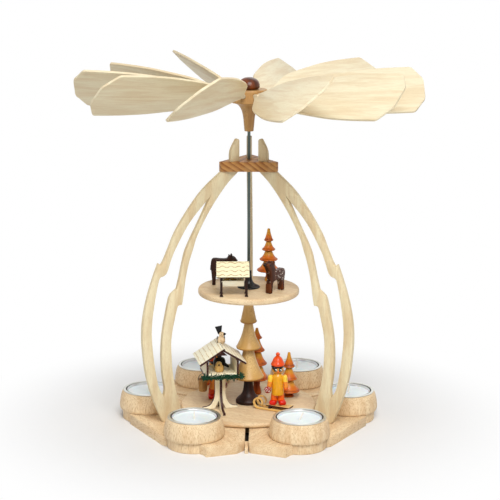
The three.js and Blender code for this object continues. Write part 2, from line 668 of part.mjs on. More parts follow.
// Figures on the upper disc, placed in shares of the disc's radius
function standOn(discTop, radius, [u, v], degrees) {
  return placedGroup(rotor, u * radius, v * radius, discTop + seatGap, degrees);
}
const upperPlaceShares = {
  bigDeer: [0.52, -0.35], smallDeer: [-0.49, 0.19], rack: [-0.297, -0.668], tree: [0.39, 0.57],
};
function deer(shares, length, height) {
  return move(upright(scaled(shares, length, height), deerThickness), -length / 2);
}
place(
  standOn(upperDiscTop, upperDiscRadius, upperPlaceShares.bigDeer, 54), 'deer_right',
  deer(bigDeerShares, bigDeerLength, bigDeerHeight), brownWood,
);
place(
  standOn(upperDiscTop, upperDiscRadius, upperPlaceShares.smallDeer, 180), 'deer_left',
  deer(smallDeerShares, smallDeerLength, smallDeerHeight), darkWood,
);
{
  const group = standOn(upperDiscTop, upperDiscRadius, upperPlaceShares.rack, 3);
  const ridge = rackEaveHeight + rackRoofRise;
  const slope = Math.atan2(rackRoofRise, rackRoofRun);
  const drop = rackRoofThickness / Math.cos(slope);
  // The roof is one folded panel, seen from the end
  const roofEnd = [
    [-rackRoofRun, rackEaveHeight], [-rackRoofRun, rackEaveHeight - drop], [0, ridge - drop],
    [rackRoofRun, rackEaveHeight - drop], [rackRoofRun, rackEaveHeight], [0, ridge],
  ];
  const roof = upright(roofEnd, rackRoofWidth).rotateZ(90 * deg);
  const postX = (rackWidth - rackPost) / 2;
  const postY = (rackDepth - rackPost) / 2;
  const underRoof = ridge - drop / 2 - (postY / rackRoofRun) * rackRoofRise;
  const posts = [];
  for (const sx of [-1, 1]) {
    for (const sy of [-1, 1]) {
      posts.push(move(box(rackPost, rackPost, underRoof), sx * postX, sy * postY, underRoof / 2));
    }
  }
  const troughBottom = (underRoof - troughHeight) / 2;
  const trough = move(box(rackWidth, rackDepth, troughHeight), 0, 0, troughBottom + troughHeight / 2);
  const wall = rackPost;
  const hollow = move(
    box(rackWidth - 2 * wall, rackDepth - 2 * wall, troughHeight),
    0, 0, troughBottom + troughHeight / 2 + wall,
  );
  const rack = solid(trough).subtract(solid(hollow)).add(sum(...posts)).add(solid(roof));
  place(group, 'hay_rack', rack, creamWood);
}
place(
  standOn(upperDiscTop, upperDiscRadius, upperPlaceShares.tree, 0), 'upper_tree',
  turned(upperTreeRadius, upperTreeHeight, upperTreeShares, 14), orangeWood,
);

// Figures on the lower disc, placed in shares of the disc's radius
const lowerPlaceShares = {
  helper: [-0.506, 0.22], bigTree: [0.118, 0.42], smallTree: [0.6, 0.3],
};
const houseReach = bottomTierRadius + houseClearance;
{
  // Stand: two boards that cross, each with two curved feet
  const group = standOn(lowerDiscTop, houseReach, polar(1, houseAngle), houseTurn);
  const height = houseFloorHeight - seatGap;
  const arm = (reach) => {
    const half = scaled(standArmShares, reach, height).map(([x, z]) => [Math.max(x, standStem / 2), z]);
    const right = [...half, [standStem / 2, height]];
    const left = right.map(([x, z]) => [-x, z]).reverse();
    const arch = scaled([[-1, 0], [-0.5, 0.7], [0, 1], [0.5, 0.7], [1, 0]], standStem / 2, standFoot);
    return upright([...left, ...arch, ...right], standBoard);
  };
  place(group, 'feeder_stand', sum(arm(standSideReach), arm(standFrontReach).rotateZ(90 * deg)), creamWood);
}
{
  // House: a floor with side walls up to the eaves, low rims, four posts and a gable board at the back
  const group = standOn(lowerDiscTop, houseReach, polar(1, houseAngle), houseTurn);
  const floor = move(
    box(houseWidth, houseDepth, houseBoard), 0, houseBack, houseFloorHeight + houseBoard / 2,
  );
  const postX = (houseWidth - housePost) / 2;
  const postY = (houseDepth - housePost) / 2;
  const slope = roofRise / roofHalfSpan;
  const lean = Math.cos(Math.atan(slope));
  const ridge = roofEaveHeight + roofRise;
  const roofUnder = (x) => ridge - x * slope - (roofThickness + seatGap) / lean;
  const postTop = roofUnder(postX + housePost / 2);
  const pieces = [floor];
  for (const sx of [-1, 1]) {
    for (const sy of [-1, 1]) {
      pieces.push(move(
        box(housePost, housePost, postTop - houseFloorHeight),
        sx * postX, houseBack + sy * postY, (postTop + houseFloorHeight) / 2,
      ));
    }
    pieces.push(move(
      box(housePost, houseDepth, postTop - houseFloorHeight), sx * postX, houseBack,
      (postTop + houseFloorHeight) / 2,
    ));
    pieces.push(move(
      box(houseWidth, housePost, houseRim), 0, houseBack + sx * postY, houseFloorHeight + houseRim / 2,
    ));
  }
  const gable = [
    [-houseWidth / 2, postTop - housePost], [houseWidth / 2, postTop - housePost],
    [houseWidth / 2, roofUnder(houseWidth / 2)], [0, roofUnder(0)],
    [-houseWidth / 2, roofUnder(houseWidth / 2)],
  ];
  pieces.push(move(upright(gable, housePost), 0, houseBack + postY));
  place(group, 'bird_house', sum(...pieces), creamWood);

  // Roof: two sloping boards joined at the ridge
  const drop = roofThickness / lean;
  const roof = upright([
    [-roofHalfSpan, roofEaveHeight], [-roofHalfSpan, roofEaveHeight - drop], [0, ridge - drop],
    [roofHalfSpan, roofEaveHeight - drop], [roofHalfSpan, roofEaveHeight], [0, ridge],
  ], roofLength);
  place(group, 'feeder_roof', move(roof, 0, houseBack), creamWood);

  // Garland: a green band along the floor's front edge and round its corners
  const outerX = houseWidth + 2 * (garlandSection + seatGap);
  const front = houseBack - houseDepth / 2;
  const reach = garlandSection + garlandReturn;
  const strip = move(box(outerX, reach, garlandSection), 0, front - garlandSection - seatGap + reach / 2);
  const band = solid(strip).subtract(solid(move(
    box(houseWidth + 2 * seatGap, houseDepth + 2 * seatGap, garlandSection + 2 * overrun), 0, houseBack,
  )));
  place(group, 'garland', band.translate([0, 0, houseFloorHeight + garlandSection / 2]), greenPaint);
}

// A turned child: boots, coat with arms, head and hat
function child(bootTop) {
  const headBottom = bootTop + coatHeight;
  const headHeight = 2 * headRadius;
  const hatBottom = headBottom + headHeight * headShares[headShares.length - 1][1];
  const hatHeight = childHeight - hatBottom;
  const pieces = [
    move(turned(coatRadius, coatHeight, coatShares, 12), 0, 0, bootTop),
    move(turned(headRadius, headHeight, headShares, 12), 0, 0, headBottom - headRadius * 0.1),
    move(turned(hatRadius, hatHeight, hatShares, 12), 0, 0, hatBottom - headRadius * 0.1),
  ];
  for (const side of [-1, 1]) {
    pieces.push(move(
      box(bootWidth, bootLength, bootTop),
      side * (bootWidth / 2 + coatRadius * 0.06), -coatRadius * 0.3, bootTop / 2,
    ));
    const arm = new THREE.CapsuleGeometry(armRadius, coatHeight * 0.62, 2, 6).rotateX(90 * deg);
    arm.rotateY(-side * 3 * deg);
    pieces.push(move(arm, side * armSpread * 0.82, -coatRadius * 0.2, bootTop + coatHeight * 0.54));
  }
  const hips = box(coatRadius * 1.3, coatRadius * 1.1, coatRadius * 0.4);
  pieces.push(move(hips, 0, 0, bootTop));
  return sum(...pieces);
}
{
  // Sled: two curled runners under a seat; the child stands on it
  const group = standOn(lowerDiscTop, trunkRadius + sledClearance, polar(1, sledAngle), sledTurn);
  const curlCentre = [sledLength / 2 - sledCurl, sledCurl];
  const ring = (radius, from, to, steps) => Array.from({ length: steps + 1 }, (_, i) => {
    const [x, z] = polar(radius, from + ((to - from) * i) / steps);
    return [curlCentre[0] + x, curlCentre[1] + z];
  });
  const runnerOutline = [
    [-sledLength / 2, 0], ...ring(sledCurl, -90, 160, 12), ...ring(sledCurl - sledRunner, 160, -90, 12),
    [-sledLength / 2, sledRunner],
  ];
  const runnerY = (sledWidth - sledRunner) / 2;
  const seatLength = sledLength - 2 * sledCurl - sledRunner;
  const seatX = -sledLength / 2 + seatLength / 2;
  const pieces = [
    move(upright(runnerOutline, sledRunner), 0, runnerY),
    move(upright(runnerOutline, sledRunner), 0, -runnerY),
    move(box(seatLength, sledWidth, sledRunner), seatX, 0, sledHeight - sledRunner / 2),
  ];
  const strutShares = [0.16, 0.84];
  for (const share of strutShares) {
    pieces.push(move(
      box(sledRunner, sledWidth, sledHeight - sledRunner / 2), -sledLength / 2 + share * seatLength, 0,
      (sledHeight + sledRunner / 2) / 2,
    ));
  }
  place(group, 'sled', sum(...pieces), yellowPaint);
  const riderShares = [-0.094, -0.293];
  const rider = placedGroup(
    group, riderShares[0] * sledLength, riderShares[1] * sledWidth, sledHeight + seatGap, -sledTurn,
  );
  place(rider, 'child_on_sled', child(bootHeight), yellowPaint);
}
{
  // A second child with a bucket on its arm
  const group = standOn(lowerDiscTop, lowerDiscRadius, lowerPlaceShares.helper, 20);
  const bucket = move(
    turned(bucketRadius, bucketHeight, bucketShares, 12), -armSpread - bucketRadius * 0.7, -coatRadius * 0.3,
    bootHeight - coatRadius * 0.3,
  );
  place(group, 'child_with_bucket', child(bootHeight).add(solid(bucket)), redPaint);
}
place(
  standOn(lowerDiscTop, lowerDiscRadius, lowerPlaceShares.bigTree, 0), 'lower_tree_big',
  turned(bigTreeRadius, bigTreeHeight, bigTreeShares, 14), orangeWood,
);
place(
  standOn(lowerDiscTop, lowerDiscRadius, lowerPlaceShares.smallTree, 0), 'lower_tree_small',
  turned(smallTreeRadius, smallTreeHeight, smallTreeShares, 16), orangeWood,
);

export default carousel;
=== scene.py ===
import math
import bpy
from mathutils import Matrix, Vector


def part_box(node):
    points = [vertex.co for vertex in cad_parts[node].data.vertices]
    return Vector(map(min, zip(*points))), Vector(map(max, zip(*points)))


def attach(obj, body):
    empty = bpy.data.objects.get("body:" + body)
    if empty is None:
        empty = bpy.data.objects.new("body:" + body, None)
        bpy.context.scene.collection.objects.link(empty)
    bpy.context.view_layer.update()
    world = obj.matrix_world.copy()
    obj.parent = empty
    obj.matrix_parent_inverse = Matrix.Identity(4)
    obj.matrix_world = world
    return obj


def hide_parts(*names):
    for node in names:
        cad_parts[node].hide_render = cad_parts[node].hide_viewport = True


bl_info = {
    "name": "Candle carousel",
    "version": (1, 0, 0),
    "blender": (4, 5, 0),
    "location": "3D View > Sidebar > Carousel",
    "description": "Dresses a wooden candle carousel with turned and sawn pieces, tea lights and a studio",
    "category": "Object",
}

import bmesh
import bpy
from mathutils import Euler, Matrix, Vector

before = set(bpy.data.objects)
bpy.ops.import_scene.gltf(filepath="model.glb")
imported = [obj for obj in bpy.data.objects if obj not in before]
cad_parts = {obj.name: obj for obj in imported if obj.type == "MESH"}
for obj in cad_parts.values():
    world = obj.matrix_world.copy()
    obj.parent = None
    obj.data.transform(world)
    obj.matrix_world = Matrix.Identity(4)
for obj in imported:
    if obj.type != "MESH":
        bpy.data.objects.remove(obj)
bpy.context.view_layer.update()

MM = 0.001


def high(node):
    """How high a solid of the frame reaches, in millimetres."""
    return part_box(node)[1].z / MM


def low(node):
    """How low a solid of the frame reaches, in millimetres."""
    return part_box(node)[0].z / MM


def middle(node):
    """The middle of a solid's underside, in millimetres."""
    a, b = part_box(node)
    return Vector(((a.x + b.x) / 2, (a.y + b.y) / 2, a.z)) / MM


def radius_of(node):
    """Half the width of a turned solid, in millimetres."""
    a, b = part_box(node)
    return (b.x - a.x) / 2 / MM


CREASE = math.radians(32)                 # the angle from which an edge shows as sharp
NEEDLE_TILT = (3.1, 1.5, 3.1)             # how far a needle of the garland may turn, in radians
NEEDLE_GROWTH = (0.6, 1.1)                # the smallest and largest share of a needle's length
WICK_LEAN = (0.2, -0.1, 0.3, 0.1, 0, 1)   # each wick's share of the greatest lean

# Each blade's share of the pitch, the rise and the swing

BLADE_PITCH = [0.93, 1.1, 1.08, 1.08, 1.06, 1, 1.04, 1.01, 0.96, 0.94]
BLADE_RISE = [0.8, 0.54, 0, 1.1, 0.38, 0.8, 1.18, 1.6, 1.68, 1.15]
BLADE_SWING = [-0.27, 0, -0.23, 0.66, -0.13, -0.05, -0.22, 0, 0.25, 0.06]

# Sizes in millimetres

GAP = 0.3                               # left between neighbouring pieces
BORE_GAP = 0.35                         # left round the shaft
LINER_WALL = 0.6
PEG_START = 9.2                         # how far from the axis a blade's peg begins
HOUSE_FRONT, HOUSE_BACK = -13.7, 18.3   # the bird house's floor, from the middle of its stand
RACK_WIDTH, RACK_DEPTH, RACK_POST, RACK_EAVE = 23.4, 13, 2.2, 18.4
SLED_LENGTH, SLED_WIDTH = 35, 9


# Outlines, in shares of the sizes that they follow

ARCH_OUTER = [
    (0.268, 1), (0.436, 0.935), (0.573, 0.858), (0.692, 0.774), (0.753, 0.712), (0.802, 0.663),
    (0.826, 0.649), (0.846, 0.657), (0.887, 0.608), (0.938, 0.539), (0.972, 0.478), (0.994, 0.417),
    (1, 0.354), (0.994, 0.305), (0.971, 0.212), (0.933, 0.14), (0.886, 0.073), (0.82, 0),
]
ARCH_INNER = [
    (0.625, 0), (0.66, 0.055), (0.703, 0.135), (0.729, 0.208), (0.739, 0.292), (0.739, 0.33), (0.727, 0.376),
    (0.704, 0.424), (0.683, 0.464), (0.672, 0.475), (0.637, 0.477), (0.622, 0.518), (0.602, 0.583),
    (0.568, 0.651), (0.532, 0.7), (0.496, 0.749), (0.377, 0.849), (0.22, 0.947), (0.099, 1),
]
ARCH_SLIT = [
    (0.368, 0.907), (0.558, 0.811), (0.694, 0.707), (0.738, 0.66), (0.77, 0.618), (0.795, 0.605),
    (0.83, 0.6), (0.844, 0.59), (0.868, 0.544), (0.896, 0.472), (0.911, 0.42), (0.916, 0.364),
    (0.905, 0.289), (0.881, 0.204), (0.85, 0.14), (0.81, 0.107), (0.802, 0.14), (0.82, 0.201),
    (0.827, 0.285), (0.814, 0.368), (0.79, 0.429), (0.756, 0.502), (0.738, 0.523), (0.717, 0.532),
    (0.68, 0.545), (0.659, 0.583), (0.626, 0.649), (0.592, 0.703), (0.477, 0.807),
]
FINGER_TOP = [
    (0, 0.92), (0.06, 0.97), (0.18, 1), (0.3, 0.99), (0.42, 0.92), (0.76, 0.66), (0.93, 0.48), (1, 0.3),
]
BLADE_HALF = [
    (0, 0.1), (0.05, 0.18), (0.124, 0.37), (0.19, 0.55), (0.256, 0.67), (0.33, 0.75), (0.4, 0.81),
    (0.55, 0.93), (0.69, 0.985), (0.8, 1), (0.915, 1), (0.932, 0.96), (0.98, 0.58), (0.995, 0.48), (1, 0.34),
]
HUB = [
    (0.25, 0), (0.29, 0.17), (0.32, 0.32), (0.4, 0.48), (0.55, 0.6), (0.8, 0.675), (1, 0.69), (1, 0.98),
    (0.97, 1),
]
CAP = [(0.86, 0), (0.97, 0.12), (1, 0.25), (0.97, 0.44), (0.86, 0.66), (0.66, 0.85), (0.36, 0.97), (0, 1)]
COLLAR = [(1, 0), (0.97, 0.05), (0.58, 0.19), (0.37, 0.36), (0.28, 0.62), (0.25, 1)]
TRUNK = [(1, 0), (1, 0.1), (0.9, 0.17), (0.6, 0.32), (0.44, 0.5), (0.37, 0.75), (0.35, 1)]
DEER_NEAR = [
    (-0.08, 0.93), (0, 0.84), (0.1, 0.7), (0.15, 0.52), (0.13, 0.3), (0.11, 0), (0.22, 0), (0.26, 0.3),
    (0.34, 0.36), (0.66, 0.36), (0.76, 0.27), (0.79, 0), (0.9, 0), (0.92, 0.3), (0.97, 0.5), (0.95, 0.64),
    (0.86, 0.7), (0.52, 0.69), (0.4, 0.76), (0.35, 0.88), (0.36, 0.99), (0.28, 0.95), (0.2, 1),
    (0.12, 0.96), (-0.02, 0.98),
]
DEER_FAR = [
    (0.02, 0.8), (0.13, 0.72), (0.24, 0.72), (0.2, 0.45), (0.16, 0), (0.28, 0), (0.31, 0.4), (0.42, 0.5),
    (0.68, 0.5), (0.78, 0.36), (0.83, 0), (0.94, 0), (0.97, 0.35), (1, 0.6), (0.98, 0.8), (0.9, 0.87),
    (0.6, 0.86), (0.42, 0.87), (0.36, 0.93), (0.34, 1), (0.29, 0.95), (0.24, 1), (0.2, 0.94), (0.1, 0.9),
]

# Outlines in millimetres

ROOF_BIRD = [(0, 0), (2.2, 0.5), (3.4, 2.8), (3.1, 5.0), (1.9, 6.8), (0, 7.3)]
PALE_BIRD = [(0, 0), (3.1, 0.4), (4.0, 3.0), (3.3, 5.4), (0, 6.6)]
DARK_BIRD = [(0, 0), (3.8, 0.6), (5.4, 4.8), (4.4, 8.6), (0, 10.6)]
COAT = [(5.2, -0.4), (5.35, 1.2), (5.05, 6), (4.8, 12), (4.7, 15.8), (3.3, 18.4)]
CUFF = [(0, 0), (1.9, 0), (2.15, 0.8), (2.1, 1.8), (1.8, 2.3), (0, 2.3)]
FRINGE = [(4.6, 1.2), (5.35, 1.3), (5.4, 2.6), (5.1, 3.6), (4.0, 3.8)]
HAT = [(5.5, 0), (6.0, 0.9), (5.7, 2.0), (4.9, 3.6), (3.7, 6.2), (2.0, 8.0), (0.9, 8.8)]


# Sizes and colours

def size(name, default, description):
    """A length in metres."""
    return bpy.props.FloatProperty(
        name=name, default=default, description=description, subtype="DISTANCE", unit="LENGTH")


def angle(name, degrees, description):
    """An angle, given in degrees."""
    return bpy.props.FloatProperty(
        name=name, default=math.radians(degrees), description=description, subtype="ANGLE", unit="ROTATION")


def number(name, default, description, unit="NONE"):
    """A number, with a unit where it has one."""
    return bpy.props.FloatProperty(name=name, default=default, description=description, unit=unit)


def colour(name, default, description):
    """A colour as it shows on a screen."""
    return bpy.props.FloatVectorProperty(
        name=name, default=default, description=description, subtype="COLOR_GAMMA", size=3, min=0, max=1)


class CarouselStandSizes(bpy.types.PropertyGroup):
    """Sizes of the base, the cups and the arches."""
    cup_ring: size("Cup ring", 0.0878, "Radius of the ring that the cups stand on")
    cup_rim: size("Cup rim", 0.0233, "Radius of a cup at its rim")
    cup_belly: size("Cup belly", 0.0254, "Radius of a cup at its widest")
    cup_foot: size("Cup foot", 0.0229, "Radius of a cup's foot in the board's notch")
    liner_bore: size("Liner bore", 0.020, "Radius inside a metal liner")
    liner_flange: size("Liner flange", 0.0223, "Radius of a liner's flange")
    light_radius: size("Tea light radius", 0.019, "Radius of a tea light's foil cup")
    light_height: size("Tea light height", 0.015, "Height of a tea light's foil cup")
    wick: size("Wick", 0.0066, "Length of a wick above its wax")
    wick_lean: size("Wick lean", 0.0028, "How far the most bent wick leans")
    arch_reach: size("Arch reach", 0.1028, "Radius to the widest part of an arch")
    arch_rise: size("Arch rise", 0.2124, "Height of an arch under its top plate")
    arch_board: size("Arch board", 0.0044, "Thickness of an arch")
    finger_in: size("Finger inside", 0.0102, "Radius to the inner side of an arch's finger")
    finger_out: size("Finger outside", 0.0187, "Radius to the outer side of an arch's finger")
    edge: size("Eased edge", 0.0006, "How far the wooden edges are rounded")
    cup_count: bpy.props.IntProperty(name="Cups", default=6, min=1, description="Cups in the ring")
    arch_count: bpy.props.IntProperty(name="Arches", default=3, min=1, description="Arches and base boards")


class CarouselRotorSizes(bpy.types.PropertyGroup):
    """Sizes of what turns."""
    blade_root: size("Blade root", 0.019, "Radius where a blade begins")
    blade_tip: size("Blade tip", 0.1478, "Radius where a blade ends")
    blade_half: size("Blade half width", 0.0278, "Half of a blade's greatest width")
    blade_board: size("Blade board", 0.002, "Thickness of a blade")
    blade_height: size("Blade height", 0.284, "Height of the blades' pegs at the axis")
    peg: size("Peg", 0.0018, "Radius of a blade's peg")
    pitch: angle("Pitch", 38, "How far a blade is turned about its peg")
    rise: angle("Rise", 3.4, "How far a blade climbs outward")
    swing: angle("Swing", 6, "How far a peg may lean sideways")
    turn: angle("Turn", 0.7, "How far the ring of blades stands turned")
    garland_step: size("Needle step", 0.00065, "Distance between the garland's needles")
    garland_needle: size("Needle", 0.0034, "Length of one needle of the garland")


class CarouselColours(bpy.types.PropertyGroup):
    """Colours of the finishes."""
    beech: colour("Beech", (0.93, 0.84, 0.69), "Turned cups, discs and base boards")
    pale: colour("Pale wood", (0.91, 0.87, 0.75), "Blades")
    arch: colour("Arch wood", (0.90, 0.85, 0.71), "Arches")
    plate: colour("Plate", (0.74, 0.53, 0.29), "Top plate's striped wood")
    tier: colour("Tiers", (0.88, 0.76, 0.52), "Turned tiers of the central tree")
    scorched: colour("Scorched", (0.90, 0.65, 0.20), "Small turned trees")
    cream: colour("Cream", (0.97, 0.95, 0.85), "Sawn boards of the feeder and the rack")
    green: colour("Green", (0.06, 0.27, 0.17), "Garland")
    yellow: colour("Yellow", (0.92, 0.65, 0.08), "Child's coat")
    red: colour("Red", (0.89, 0.29, 0.03), "Hats")
    skin: colour("Face", (0.93, 0.67, 0.30), "Turned faces")


class CarouselStageSizes(bpy.types.PropertyGroup):
    """The camera and the light."""
    place: bpy.props.FloatVectorProperty(
        name="Camera place", default=(0.0224, -1.35945, 0.45199), subtype="XYZ", unit="LENGTH",
        description="Where the camera stands")
    heading: angle("Heading", 0.898, "The camera's turn about the vertical")
    tilt: angle("Tilt", 12.489, "How far the camera looks down")
    roll: angle("Roll", 0.135, "The camera's turn about its own axis")
    lens: number("Lens", 116.19, "Focal length in millimetres", "CAMERA")
    key: number("Key light", 32, "Power of the main light in watts", "POWER")
    fill: number("Fill light", 4, "Power of the fill light in watts", "POWER")
    back: number("Back light", 5, "Power of the light behind in watts", "POWER")
    sky: number("Sky", 0.28, "Strength of the even light")


# Lines

def flowing(points, corners=(), steps=5, closed=True):
    """A smooth line through the points, with corners left at the indexes named."""
    points = [Vector(p) for p in points]
    count = len(points)
    out = []
    for i in range(count if closed else count - 1):
        a, b = points[i], points[(i + 1) % count]
        before, after = points[i - 1], points[(i + 2) % count]
        length = (b - a).length
        free_a = i in corners or (not closed and i == 0)
        free_b = (i + 1) % count in corners or (not closed and i == count - 2)
        ta = (b - a) if free_a else (b - before) * (length / ((a - before).length + length))
        tb = (b - a) if free_b else (after - a) * (length / ((after - b).length + length))
        if free_a and free_b:
            out.append(a)
            continue
        for k in range(steps):
            t = k / steps
            out.append(
                a * (2 * t**3 - 3 * t**2 + 1) + ta * (t**3 - 2 * t**2 + t)
                + b * (3 * t**2 - 2 * t**3) + tb * (t**3 - t**2))
    if not closed:
        out.append(points[-1])
    return [tuple(p) for p in out]


def eased(points, radius, steps=3):
    """A profile with each of its corners rounded; its two ends stay."""
    out = [tuple(points[0])]
    for before, corner, after in zip(points, points[1:], points[2:]):
        p = Vector(corner)
        a, b = Vector(before) - p, Vector(after) - p
        bend = math.pi - a.xy.angle(b.xy, math.pi) if a.xy.length and b.xy.length else 0
        if bend < 0.3:
            out.append(tuple(corner))
            continue
        start = p + a * min(0.45, radius / max(a.xy.length, 1e-6))
        end = p + b * min(0.45, radius / max(b.xy.length, 1e-6))
        for k in range(steps + 1):
            t = k / steps
            out.append(tuple(start * (1 - t)**2 + p * 2 * t * (1 - t) + end * t**2))
    out.append(tuple(points[-1]))
    return out


def scaled(shares, across, up, shift=(0, 0)):
    """An outline of shares at its real size."""
    return [(u * across + shift[0], v * up + shift[1]) for u, v in shares]


def raised(points, height):
    """A profile moved up."""
    return [(x, z + height) for x, z in points]


def at(x=0.0, y=0.0, z=0.0, turn=0.0):
    """A place in millimetres, turned about the vertical by degrees."""
    return Matrix.Translation((x, y, z)) @ Matrix.Rotation(math.radians(turn), 4, "Z")


def tipped(turn, axis):
    """A turn in radians about one axis."""
    return Matrix.Rotation(turn, 4, axis)


STAND_UP = Matrix.Rotation(math.radians(90), 4, "X")      # a board's outline from the floor into the vertical
LIE_ALONG = Matrix.Rotation(math.radians(90), 4, "Y")     # a turned piece from the vertical along +X
GRAIN_UP = Matrix.Rotation(math.radians(-90), 4, "Z")     # timber whose grain runs along an outline's Y
GRAIN_Z = Matrix.Rotation(math.radians(90), 4, "Y")       # timber whose grain runs along a turned piece


class Shape:
    """Closed forms in one mesh; each point keeps its place in the timber, and each face its finish."""

    def __init__(self, finish="beech"):
        self.finish = finish
        self.points, self.faces, self.timber, self.burn, self.finishes = [], [], [], [], []

    def add(self, points, faces, finishes, place, grain, burn=None):
        """Takes up one form; place moves it in the piece and grain in the timber."""
        start = len(self.points)
        place, grain = place or Matrix(), grain or Matrix()
        for p in points:
            p = Vector(p)
            self.points.append(place @ p)
            self.timber.append(grain @ p)
        self.faces += [tuple(start + i for i in face) for face in faces]
        self.burn += burn or [0.0] * len(points)
        self.finishes += finishes
        return self

    def turned(self, profile, sides=64, place=None, grain=None, finish=None, bored=False):
        """A lathe form; the profile runs upward, with an optional third number for how dark it is burnt."""
        points, rings, burn = [], [], []
        for row in profile:
            r, z = row[0], row[1]
            count = sides if r > 1e-6 else 1
            rings.append(list(range(len(points), len(points) + count)))
            for k in range(count):
                t = 2 * math.pi * k / sides
                points.append((r * math.cos(t), r * math.sin(t), z) if count > 1 else (0, 0, z))
                burn.append(row[2] if len(row) > 2 else 0.0)
        faces = []
        pairs = list(zip(rings, rings[1:]))
        if bored:
            pairs.append((rings[-1], rings[0]))
        for a, b in pairs:
            if len(a) == 1 and len(b) == 1:
                continue
            for k in range(sides):
                n = (k + 1) % sides
                if len(a) == 1:
                    faces.append((a[0], b[n], b[k]))
                elif len(b) == 1:
                    faces.append((a[k], a[n], b[0]))
                else:
                    faces.append((a[k], a[n], b[n], b[k]))
        if not bored and len(rings[0]) > 1:
            faces.append(tuple(reversed(rings[0])))
        if not bored and len(rings[-1]) > 1:
            faces.append(tuple(rings[-1]))
        return self.add(points, faces, [finish or self.finish] * len(faces), place, grain, burn)

    def ball(self, radius, place=None, squash=1.0, sides=28, finish=None):
        """A round form; squash is its height as a share of its width."""
        steps = [math.pi * k / 14 for k in range(1, 14)]
        rows = [(0, -radius * squash)]
        rows += [(radius * math.sin(t), -radius * squash * math.cos(t)) for t in steps]
        rows += [(0, radius * squash)]
        return self.turned(rows, sides, place, finish=finish)

    def limb(self, start, end, r0, r1, sides=20, finish=None):
        """A round-ended stick from one place to another."""
        a, b = Vector(start), Vector(end)
        length = (b - a).length
        bend = (0.4, 0.8, 1.2)
        rows = [(0, -r0)] + [(r0 * math.sin(t), -r0 * math.cos(t)) for t in bend] + [(r0, 0), (r1, length)]
        rows += [(r1 * math.cos(t), length + r1 * math.sin(t)) for t in bend] + [(0, length + r1)]
        turn = (b - a).to_track_quat("Z", "Y").to_matrix().to_4x4()
        return self.turned(rows, sides, Matrix.Translation(a) @ turn, finish=finish)

    def block(self, x, y, z, place=None, edge=0.3, grain=None, finish=None):
        """A box with eased edges that stands on its place."""
        bm = bmesh.new()
        bmesh.ops.create_cube(bm, size=1, matrix=at(z=z / 2) @ Matrix.Diagonal((x, y, z, 1)))
        bmesh.ops.bevel(bm, geom=bm.edges[:], offset=edge, segments=2, profile=0.5, affect="EDGES")
        return self._from(bm, place, grain, finish)

    def board(self, outline, thickness, edge=0.4, place=None, grain=None, holes=(), finish=None, rim=None):
        """A sawn board with eased edges, centred on Z; rim is the finish of its edges where it differs."""
        curve = bpy.data.curves.new("outline", "CURVE")
        curve.dimensions, curve.fill_mode = "2D", "BOTH"
        curve.extrude, curve.bevel_depth = thickness / 2 - edge, edge
        curve.bevel_resolution, curve.offset = 1, -edge
        for line in (outline, *holes):
            spline = curve.splines.new("POLY")
            spline.points.add(len(line) - 1)
            for point, p in zip(spline.points, line):
                point.co = (p[0], p[1], 0, 1)
            spline.use_cyclic_u = True
        holder = bpy.data.objects.new("outline", curve)
        bpy.context.scene.collection.objects.link(holder)
        bpy.context.view_layer.update()
        mesh = bpy.data.meshes.new_from_object(holder)
        bm = bmesh.new()
        bm.from_mesh(mesh)
        bpy.data.objects.remove(holder)
        bpy.data.curves.remove(curve)
        bpy.data.meshes.remove(mesh)
        bmesh.ops.remove_doubles(bm, verts=bm.verts[:], dist=1e-4)
        bmesh.ops.recalc_face_normals(bm, faces=bm.faces[:])
        return self._from(bm, place, grain, finish, rim)

    def copy_of(self, node, edge=0.4, turn=0.0):
        """A solid of the frame with its edges eased; its timber lies turned by degrees."""
        bm = bmesh.new()
        bm.from_mesh(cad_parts[node].data)
        bmesh.ops.scale(bm, vec=(1 / MM, 1 / MM, 1 / MM), verts=bm.verts[:])
        bmesh.ops.remove_doubles(bm, verts=bm.verts[:], dist=1e-3)
        bmesh.ops.dissolve_limit(bm, angle_limit=math.radians(1), verts=bm.verts[:], edges=bm.edges[:])
        bmesh.ops.recalc_face_normals(bm, faces=bm.faces[:])
        sharp = [e for e in bm.edges if len(e.link_faces) == 2 and e.calc_face_angle() > CREASE]
        bmesh.ops.bevel(
            bm, geom=sharp, offset=edge, segments=2, profile=0.5, affect="EDGES", clamp_overlap=True)
        return self._from(bm, None, Matrix.Rotation(math.radians(-turn), 4, "Z"))

    def _from(self, bm, place, grain, finish=None, rim=None):
        """Takes up a form built by mesh operations."""
        finish = finish or self.finish
        bm.verts.index_update()
        points = [v.co.copy() for v in bm.verts]
        faces = [tuple(v.index for v in f.verts) for f in bm.faces]
        finishes = [rim if rim and abs(f.normal.z) <= 0.6 else finish for f in bm.faces]
        bm.free()
        return self.add(points, faces, finishes, place, grain)

    def bare(self, name, crease=None):
        """The plain object, not yet riding on anything."""
        mesh = bpy.data.meshes.new(name)
        mesh.from_pydata([p * MM for p in self.points], [], self.faces)
        mesh.attributes.new("timber", "FLOAT_VECTOR", "POINT").data.foreach_set(
            "vector", [c for p in self.timber for c in p])
        mesh.attributes.new("burn", "FLOAT", "POINT").data.foreach_set("value", self.burn)
        order = list(dict.fromkeys(self.finishes))
        mesh.polygons.foreach_set("material_index", [order.index(finish) for finish in self.finishes])
        mesh.shade_smooth()
        mesh.set_sharp_from_angle(angle=math.radians(crease) if crease else CREASE)
        piece = bpy.data.objects.new(name, mesh)
        bpy.context.scene.collection.objects.link(piece)
        return piece

    def make(self, name, body, nodes=(), slot="beech", crease=None):
        """The finished piece; crease is the angle in degrees from which an edge shows as sharp."""
        piece = self.bare(name, crease)
        for finish in dict.fromkeys(self.finishes):
            piece.data.materials.append(made[finish])
        return settle(piece, body, nodes)


